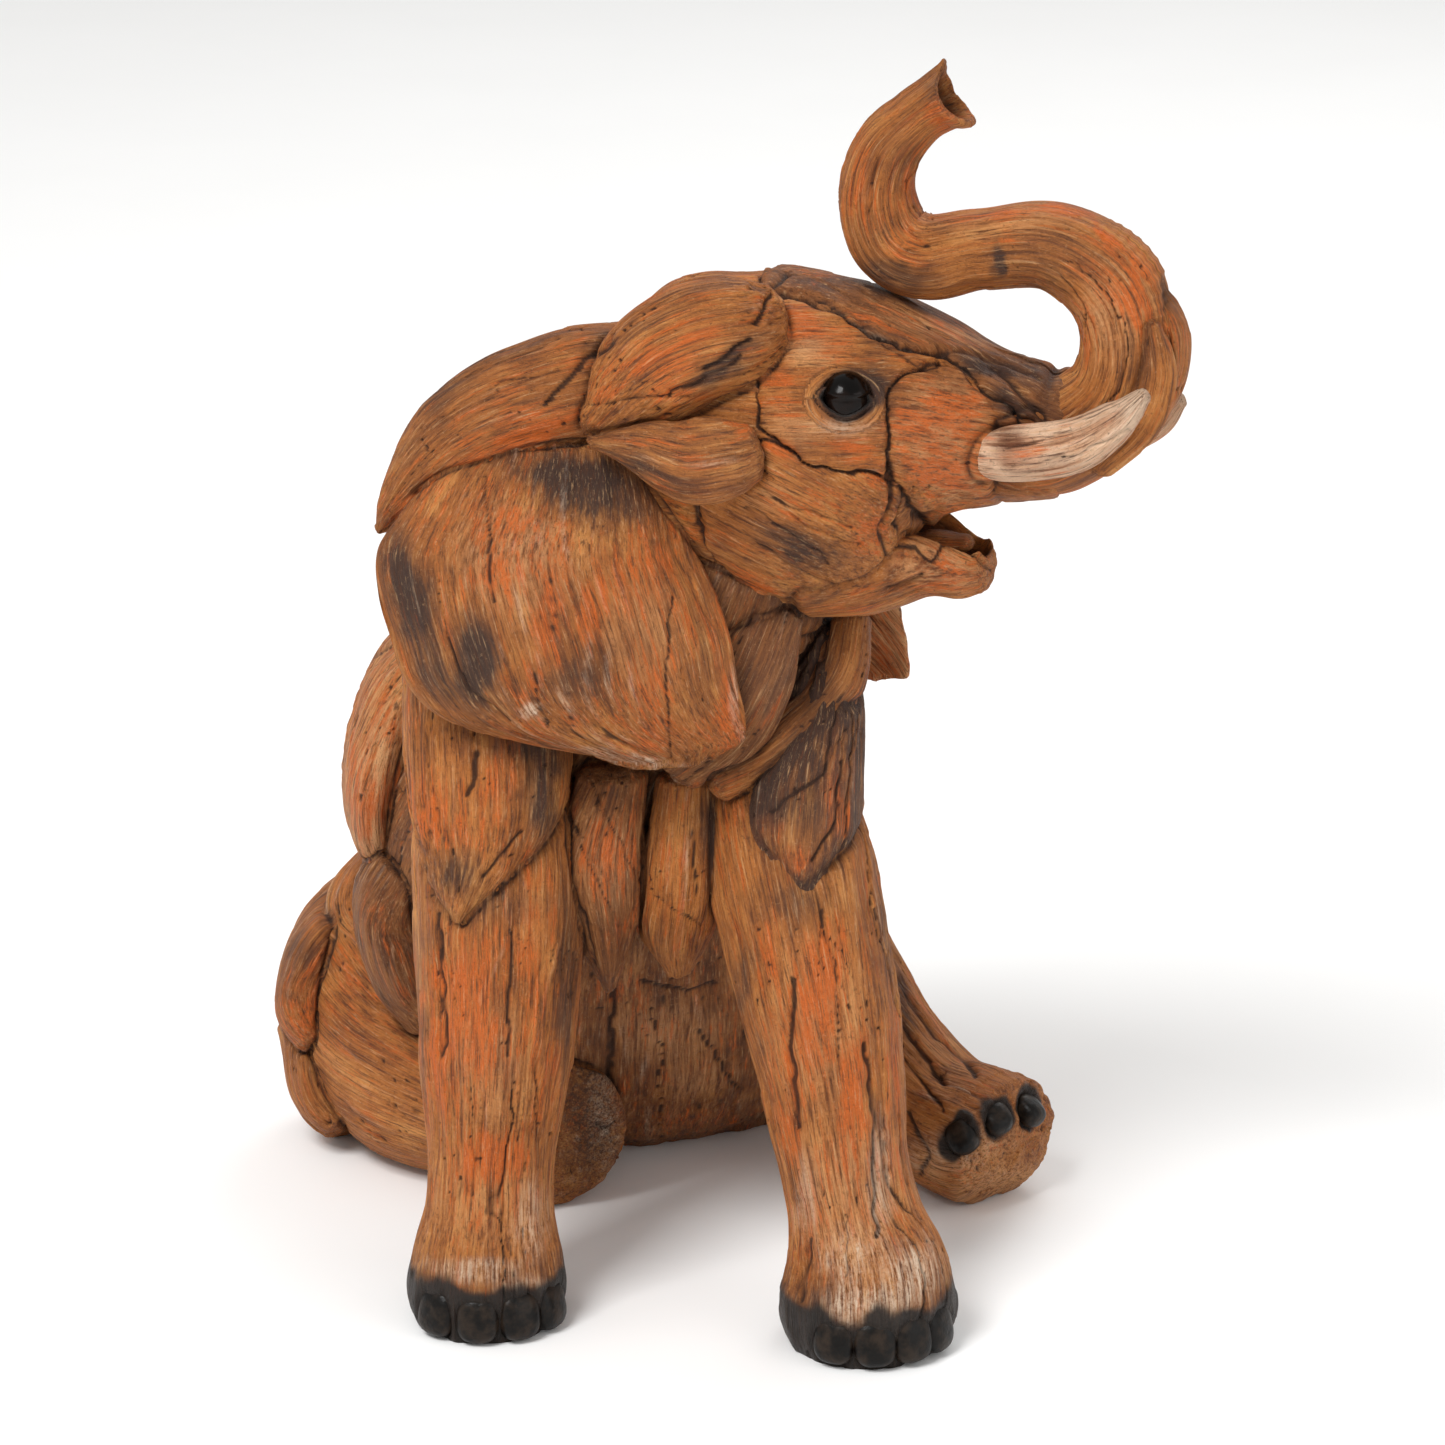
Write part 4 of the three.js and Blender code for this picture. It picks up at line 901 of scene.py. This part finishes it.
# ---------------------------------------------------------------- materials

def linear(r, g, b):
    """An sRGB colour from 0 to 255 as the linear values that a shader takes."""
    straight = [c / 255 / 12.92 if c < 11 else ((c / 255 + 0.055) / 1.055) ** 2.4 for c in (r, g, b)]
    return tuple(straight) + (1.0,)


class Nodes:
    """Short calls for building one material's node tree."""

    def __init__(self, name):
        self.material = bpy.data.materials.new(name)
        self.material.use_nodes = True
        self.tree = self.material.node_tree
        self.shader = self.tree.nodes["Principled BSDF"]

    def node(self, kind, **settings):
        n = self.tree.nodes.new(kind)
        for key, value in settings.items():
            setattr(n, key, value)
        return n

    def put(self, socket, value):
        if isinstance(value, bpy.types.NodeSocket):
            self.tree.links.new(value, socket)
        else:
            socket.default_value = value

    def math(self, operation, a, b=0.0, clamp=False):
        n = self.node("ShaderNodeMath", operation=operation, use_clamp=clamp)
        self.put(n.inputs[0], a)
        self.put(n.inputs[1], b)
        return n.outputs[0]

    def plus(self, a, b):
        return self.math("ADD", a, b)

    def minus(self, a, b):
        return self.math("SUBTRACT", a, b)

    def times(self, a, b, clamp=False):
        return self.math("MULTIPLY", a, b, clamp)

    def attribute(self, name, output="Fac"):
        return self.node("ShaderNodeAttribute", attribute_name=name).outputs[output]

    def noise(self, vector, scale, detail=3.0, offset=0.0, roughness=0.55):
        m = self.node("ShaderNodeMapping")
        self.put(m.inputs["Vector"], vector)
        m.inputs["Scale"].default_value = scale if isinstance(scale, tuple) else (scale,) * 3
        m.inputs["Location"].default_value = (offset, offset * 1.7, -offset)
        n = self.node("ShaderNodeTexNoise")
        self.put(n.inputs["Vector"], m.outputs[0])
        n.inputs["Scale"].default_value = 1.0
        n.inputs["Detail"].default_value = detail
        n.inputs["Roughness"].default_value = roughness
        return n.outputs["Fac"]

    def steep(self, value, low, high):
        n = self.node("ShaderNodeMapRange", interpolation_type="SMOOTHSTEP")
        self.put(n.inputs["Value"], value)
        n.inputs["From Min"].default_value = low
        n.inputs["From Max"].default_value = high
        return n.outputs[0]

    def mix(self, amount, a, b):
        n = self.node("ShaderNodeMix", data_type="RGBA")
        self.put(n.inputs[0], amount)
        self.put(n.inputs[6], a)
        self.put(n.inputs[7], b)
        return n.outputs[2]

    def bump(self, height, distance, strength, normal=None):
        n = self.node("ShaderNodeBump")
        n.inputs["Strength"].default_value = strength
        n.inputs["Distance"].default_value = distance
        self.put(n.inputs["Height"], height)
        if normal is not None:
            self.put(n.inputs["Normal"], normal)
        return n.outputs[0]

    def place(self):
        return self.node("ShaderNodeTexCoord").outputs["Object"]

    def surface(self, colour, roughness, specular, normal):
        self.put(self.shader.inputs["Base Color"], colour)
        self.put(self.shader.inputs["Roughness"], roughness)
        self.shader.inputs["Specular IOR Level"].default_value = specular
        self.put(self.shader.inputs["Normal"], normal)
        return self.material


ORANGE = linear(214, 100, 26)
ORANGE_WASH = linear(190, 102, 46)
SHADED = linear(80, 53, 38)
# the brown of stains and painted shade
STAIN_AND_SHADE_BROWN = linear(62, 42, 33)
# the pale tan of bleach and painted light
BLEACH_AND_LIGHT = linear(236, 176, 122)
# the brown of painted shade in cracks and hollows
HOLLOW_SHADE_BROWN = linear(50, 27, 14)
SPECK = linear(66, 38, 22)
FIBRE_DARK = linear(90, 50, 25)
FIBRE_LIGHT = linear(226, 176, 124)
SOOT = linear(30, 25, 21)
DRY_BRUSH = linear(236, 208, 180)


def wood(name, light, mid, deep, orange_amount, roughness=0.5, streak=1.0, shaded=SHADED):
    """Dry painted wood: fibres along the grain, orange streaks, specks, painted shade in hollows, pale worn
    edges.
    """
    n = Nodes(name)
    plus, minus, times, steep, mix = n.plus, n.minus, n.times, n.steep, n.mix
    grain, place = n.attribute("grain", "Vector"), n.place()
    dark, orange, shade, pale, black = (n.attribute(field) for field in PAINT)
    broad = n.noise(grain, (0.02, 0.14, 0.14), 4.0, 3.0)
    fibre = n.noise(grain, (0.04, 0.85, 0.85), 5.0, 11.0, 0.68)
    fine = n.noise(grain, (0.08, 1.7, 1.7), 5.0, 23.0, 0.74)
    mottle = n.noise(place, 90, 6.0, 5.0, 0.65)
    grit = n.noise(place, 950, 4.0, 9.0, 0.8)

    tone = plus(plus(times(broad, 0.34), times(fibre, 0.36 * streak)), times(mottle, 0.30))
    colour = mix(steep(tone, 0.38, 0.52), deep, mid)
    colour = mix(steep(tone, 0.50, 0.64), colour, light)

    greys = steep(n.noise(place, 34, 4.0, 71.0, 0.6), 0.54, 0.70)
    # random grey clouds of tone, and painted shade from the shade field, mix towards the shaded colour
    clouds = plus(times(greys, 0.38), shade)
    uneven = plus(0.55, times(steep(fibre, 0.64, 0.36), 0.5))
    colour = mix(times(clouds, uneven, True), colour, shaded)
    # stains and painted shade, from the shade field broken up along the fibres
    streaked = times(minus(0.5, fibre), 1.6)
    stain_and_shade = steep(plus(shade, streaked), 0.55, 1.9)
    colour = mix(times(stain_and_shade, 0.85), colour, STAIN_AND_SHADE_BROWN)
    # bleach and painted light where the shade field is negative
    colour = mix(times(times(shade, -0.8), steep(fibre, 0.34, 0.60), True), colour, BLEACH_AND_LIGHT)
    colour = mix(times(times(orange, 0.42), steep(mottle, 0.34, 0.58), True), colour, ORANGE_WASH)

    stripes = n.noise(grain, (0.05, 0.62, 0.62), 5.0, 41.0, 0.78)
    patches = minus(n.noise(place, 60, 4.0, 61.0), 0.5)
    share = minus(plus(orange_amount, orange), 0.5)
    level = plus(plus(stripes, times(patches, 0.45)), times(share, 0.15))
    level = minus(level, times(shade, 0.1))
    flecks = plus(0.38, times(steep(fine, 0.38, 0.58), 0.6))
    colour = mix(times(steep(level, 0.48, 0.68), flecks), colour, ORANGE)

    for field, low, high, amount, paint in (
        (fibre, 0.45, 0.32, 0.55, FIBRE_DARK), (fine, 0.49, 0.33, 0.85, FIBRE_DARK),
        (fine, 0.54, 0.70, 0.55, FIBRE_LIGHT), (grit, 0.44, 0.28, 0.6, SPECK),
        (grit, 0.58, 0.74, 0.38, FIBRE_LIGHT),
    ):
        colour = mix(times(steep(field, low, high), amount), colour, paint)

    # painted shade in cracks, hollows and openings
    hollow = plus(dark, times(minus(fibre, 0.5), 0.4))
    colour = mix(times(steep(hollow, 0.12, 1.0), 0.88), colour, HOLLOW_SHADE_BROWN)
    brushed = steep(plus(fine, times(grit, 0.4)), 0.55, 0.85)
    colour = mix(times(times(pale, brushed), 1.3, True), colour, DRY_BRUSH)
    sooty = steep(plus(black, times(minus(fibre, 0.5), 0.6)), 0.2, 0.8)
    colour = mix(times(sooty, 0.96), colour, SOOT)

    rough = minus(plus(roughness, times(fibre, 0.22)), times(sooty, 0.2))
    along = n.bump(plus(fibre, times(fine, 0.7)), 0.0018, 0.95)
    return n.surface(colour, rough, 0.34, n.bump(grit, 0.0007, 0.7, along))


def horn():
    n = Nodes("horn_black")
    place = n.place()
    cloud = n.noise(place, 260, 4.0, 2.0)
    colour = n.mix(n.steep(cloud, 0.4, 0.7), linear(11, 8, 6), linear(44, 34, 26))
    relief = n.bump(n.noise(place, 700, 3.0, 4.0), 0.0004, 0.5)
    return n.surface(colour, n.plus(0.24, n.times(cloud, 0.3)), 0.2, relief)


def glass_eye():
    n = Nodes("eye_gloss")
    cloud = n.noise(n.place(), 180, 3.0, 2.0)
    colour = n.mix(n.steep(cloud, 0.4, 0.7), linear(5, 3, 2), linear(22, 12, 8))
    return n.surface(colour, n.plus(0.12, n.times(cloud, 0.1)), 0.14, n.bump(cloud, 0.0006, 0.4))


MATERIALS = {
    "wood_tan": wood("wood_tan", linear(222, 151, 80), linear(186, 112, 49), linear(132, 71, 28), 0.34),
    "wood_orange": wood("wood_orange", linear(208, 139, 71), linear(172, 102, 45), linear(124, 68, 28),
                        0.38),
    "wood_brown": wood("wood_brown", linear(190, 127, 71), linear(150, 91, 45), linear(100, 57, 28), 0.2),
    "wood_pale": wood("wood_pale", linear(240, 200, 166), linear(214, 158, 118), linear(150, 92, 58), 0.1,
                      0.45, 1.5, linear(120, 70, 42)),
    "horn_black": horn(),
    "eye_gloss": glass_eye(),
}


# ---------------------------------------------------------------- making the meshes

def new_object(name, data):
    obj = bpy.data.objects.new(name, data)
    bpy.context.scene.collection.objects.link(obj)
    return obj


def write_attributes(mesh, grain, fields):
    direction = mesh.attributes.new("grain", "FLOAT_VECTOR", "POINT")
    direction.data.foreach_set("vector", grain.astype(np.float32).ravel())
    for name, values in zip(PAINT, fields):
        field = mesh.attributes.new(name, "FLOAT", "POINT")
        field.data.foreach_set("value", values.astype(np.float32).ravel())


def make_object(name, points, faces, grain, fields, slot):
    mesh = bpy.data.meshes.new(name)
    mesh.from_pydata((points * MM).tolist(), [], faces)
    mesh.shade_smooth()
    write_attributes(mesh, grain, fields)
    mesh.materials.append(MATERIALS[slot])
    obj = new_object(name, mesh)
    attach(obj, "root")
    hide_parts(name)


def finish_fields(sheet):
    """Hollows get painted shade and the tops of the ridges wear pale."""
    reach = 3 if COARSE == 1 else 2
    stands = sheet.push - blurred(sheet.push, reach)
    tops = sheet.ridges - blurred(sheet.ridges, reach)
    # painted shade where the surface sits lower than round it
    sheet.dark = np.clip(np.clip(sheet.dark, 0, 1) + 0.9 * ramp(0.10, 0.55, -stands), 0, 1.1)
    sheet.shade = np.clip(sheet.shade, -1, 1.6)
    brushed = sheet.pale * (0.5 + 0.9 * ramp(-0.02, 0.15, tops))
    sheet.pale = np.clip(0.32 * ramp(0.04, 0.22, tops) + brushed, 0, 1)


def make_piece(sheet, slot):
    points = (sheet.base + sheet.normal * sheet.push[..., None]).reshape(-1, 3)
    points[:, 2] = np.maximum(points[:, 2], 0.0)
    rings, sides = sheet.base.shape[:2]
    faces = grid_faces(rings, sides, sheet.flip).tolist()
    first, last = list(range(sides)), list(range((rings - 1) * sides, rings * sides))
    faces += [first[::-1], last] if sheet.flip else [first, last[::-1]]
    fields = [getattr(sheet, f) for f in PAINT]
    make_object(sheet.name, points, faces, sheet.grain.reshape(-1, 3), fields, slot)


SHELL = 2.5  # how deep the head's pieces go under their surface


def make_head(sheet, region):
    """Splits the sculpted head along its cracks into one closed piece for each plate, and the skull."""
    rings, sides = sheet.base.shape[:2]
    far = ((sheet.modelled - HEAD) @ LATERAL > 0).reshape(-1)
    outer = (sheet.base + sheet.normal * sheet.push[..., None]).reshape(-1, 3)
    inner = (sheet.base - sheet.normal * SHELL).reshape(-1, 3)
    faces = grid_faces(rings, sides, sheet.flip)
    owner = region.reshape(-1)[faces[:, 0]]
    owner_far = far[faces[:, 0]]
    fields = [getattr(sheet, f).reshape(-1) for f in PAINT]
    parts = [("skull", SLOT["skull"], owner == 0)]
    for k, (plate, (_, _, _, slot)) in enumerate(PLATES.items(), start=1):
        if plate == "forehead_slab":
            parts.append((plate, slot, owner == k))
        else:
            parts.append((plate + "_right", slot, (owner == k) & ~owner_far))
            parts.append((plate + "_left", slot, (owner == k) & owner_far))
    for name, slot, chosen in parts:
        mine = faces[chosen]
        edges = np.stack([mine, np.roll(mine, -1, 1)], -1).reshape(-1, 2)
        ends = np.sort(edges, axis=1) @ [len(outer), 1]
        _, first, count = np.unique(ends, return_index=True, return_counts=True)
        rim = edges[first[count == 1]]
        used, local = np.unique(mine, return_inverse=True)
        local = local.reshape(mine.shape)
        n = len(used)
        where = {int(v): i for i, v in enumerate(used)}
        walls = [[where[int(b)], where[int(a)], where[int(a)] + n, where[int(b)] + n] for a, b in rim]
        all_faces = local.tolist() + (local[:, ::-1] + n).tolist() + walls
        points = np.vstack([outer[used], inner[used]])
        both = np.concatenate([used, used])
        grain = sheet.grain.reshape(-1, 3)[both]
        make_object(name, points, all_faces, grain, [f[both] for f in fields], slot)


# ---------------------------------------------------------------- sculpting each piece

SHADED_PIECES = {  # piece: how much painted shade it gets over the rest, or painted light where negative
    "throat_slab": 0.3, "neck_slab": 0.35, "shoulder_slab_left": 1.0, "ear_flap_left": -0.9,
    "flank_slab_upper_right": -0.6, "temple_slab": 0.3, "neck": 0.2,
}
head_region = shape_head(pieces["skull"])
shape_trunk_tip(pieces["trunk"])
shape_jaw(pieces["lower_jaw"])
pieces["tongue"].base -= 2.5 * UP
# painted shade on the tongue inside the mouth
pieces["tongue"].dark += 0.2
for name, darker in SHADED_PIECES.items():
    pieces[name].shade += darker
pieces["ear_flap_right"].calm += 0.6
flatten_beyond(pieces["hind_leg_left"], np.array([70.0, -16, 13]), HIND_SOLE, np.array([68, -8, 15]), 34)
blacken_feet()

trees = [(sheet, sheet.bvh()) for sheet in pieces.values()]
for sheet in pieces.values():
    smooth_piece = SLOT[sheet.name] in ("horn_black", "eye_gloss")
    if not smooth_piece:
        meet(sheet, trees)
        carve_wood(sheet)
        draw_marks(sheet)
        ring(sheet)
    finish_fields(sheet)

for sheet in pieces.values():
    if sheet.name == "skull":
        make_head(sheet, head_region)
    else:
        make_piece(sheet, SLOT[sheet.name])


# ---------------------------------------------------------------- camera, light and floor

def look_at(obj, target):
    direction = target - np.array(obj.location)
    flat = math.hypot(direction[0], direction[1])
    turn = math.atan2(-direction[0], direction[1])
    obj.rotation_euler = (math.pi / 2 + math.atan2(direction[2], flat), 0, turn)


TARGET = (np.array([0.0, 0.0, 127.0]) + STANCE) * MM
DISTANCE = 1.4
camera = new_object("camera", bpy.data.cameras.new("camera"))
camera.data.lens = 140
camera.data.sensor_width = 36
camera.location = TARGET + DISTANCE * TOWARDS_VIEW
look_at(camera, TARGET)
bpy.context.scene.camera = camera


def area_light(name, position, size, watts):
    light = bpy.data.lights.new(name, "AREA")
    light.size = size
    light.energy = watts
    obj = new_object(name, light)
    obj.location = position
    look_at(obj, TARGET)


area_light("key", (-0.7, -0.9, 1.5), 0.7, 24)
area_light("fill", (1.2, -0.9, 0.6), 1.0, 4)
area_light("rim", (0.5, 1.2, 1.3), 0.8, 7)

world = bpy.data.worlds.new("studio")
bpy.context.scene.world = world
world.use_nodes = True
sky = world.node_tree.nodes["Background"].inputs
sky["Color"].default_value = (1.0, 0.995, 0.985, 1)
sky["Strength"].default_value = 0.66

bpy.context.scene.view_settings.view_transform = "Standard"

FLOOR = 6.0  # metres from the middle to each edge
floor_mesh = bpy.data.meshes.new("floor")
corners = [(-FLOOR, -FLOOR, 0), (FLOOR, -FLOOR, 0), (FLOOR, FLOOR, 0), (-FLOOR, FLOOR, 0)]
floor_mesh.from_pydata(corners, [], [(0, 1, 2, 3)])
floor = new_object("floor", floor_mesh)
paper = Nodes("paper")
white = paper.mix(paper.noise(paper.place(), 9), (0.92, 0.92, 0.915, 1), (0.95, 0.95, 0.945, 1))
paper.put(paper.shader.inputs["Base Color"], white)
paper.shader.inputs["Roughness"].default_value = 0.9
floor_mesh.materials.append(paper.material)
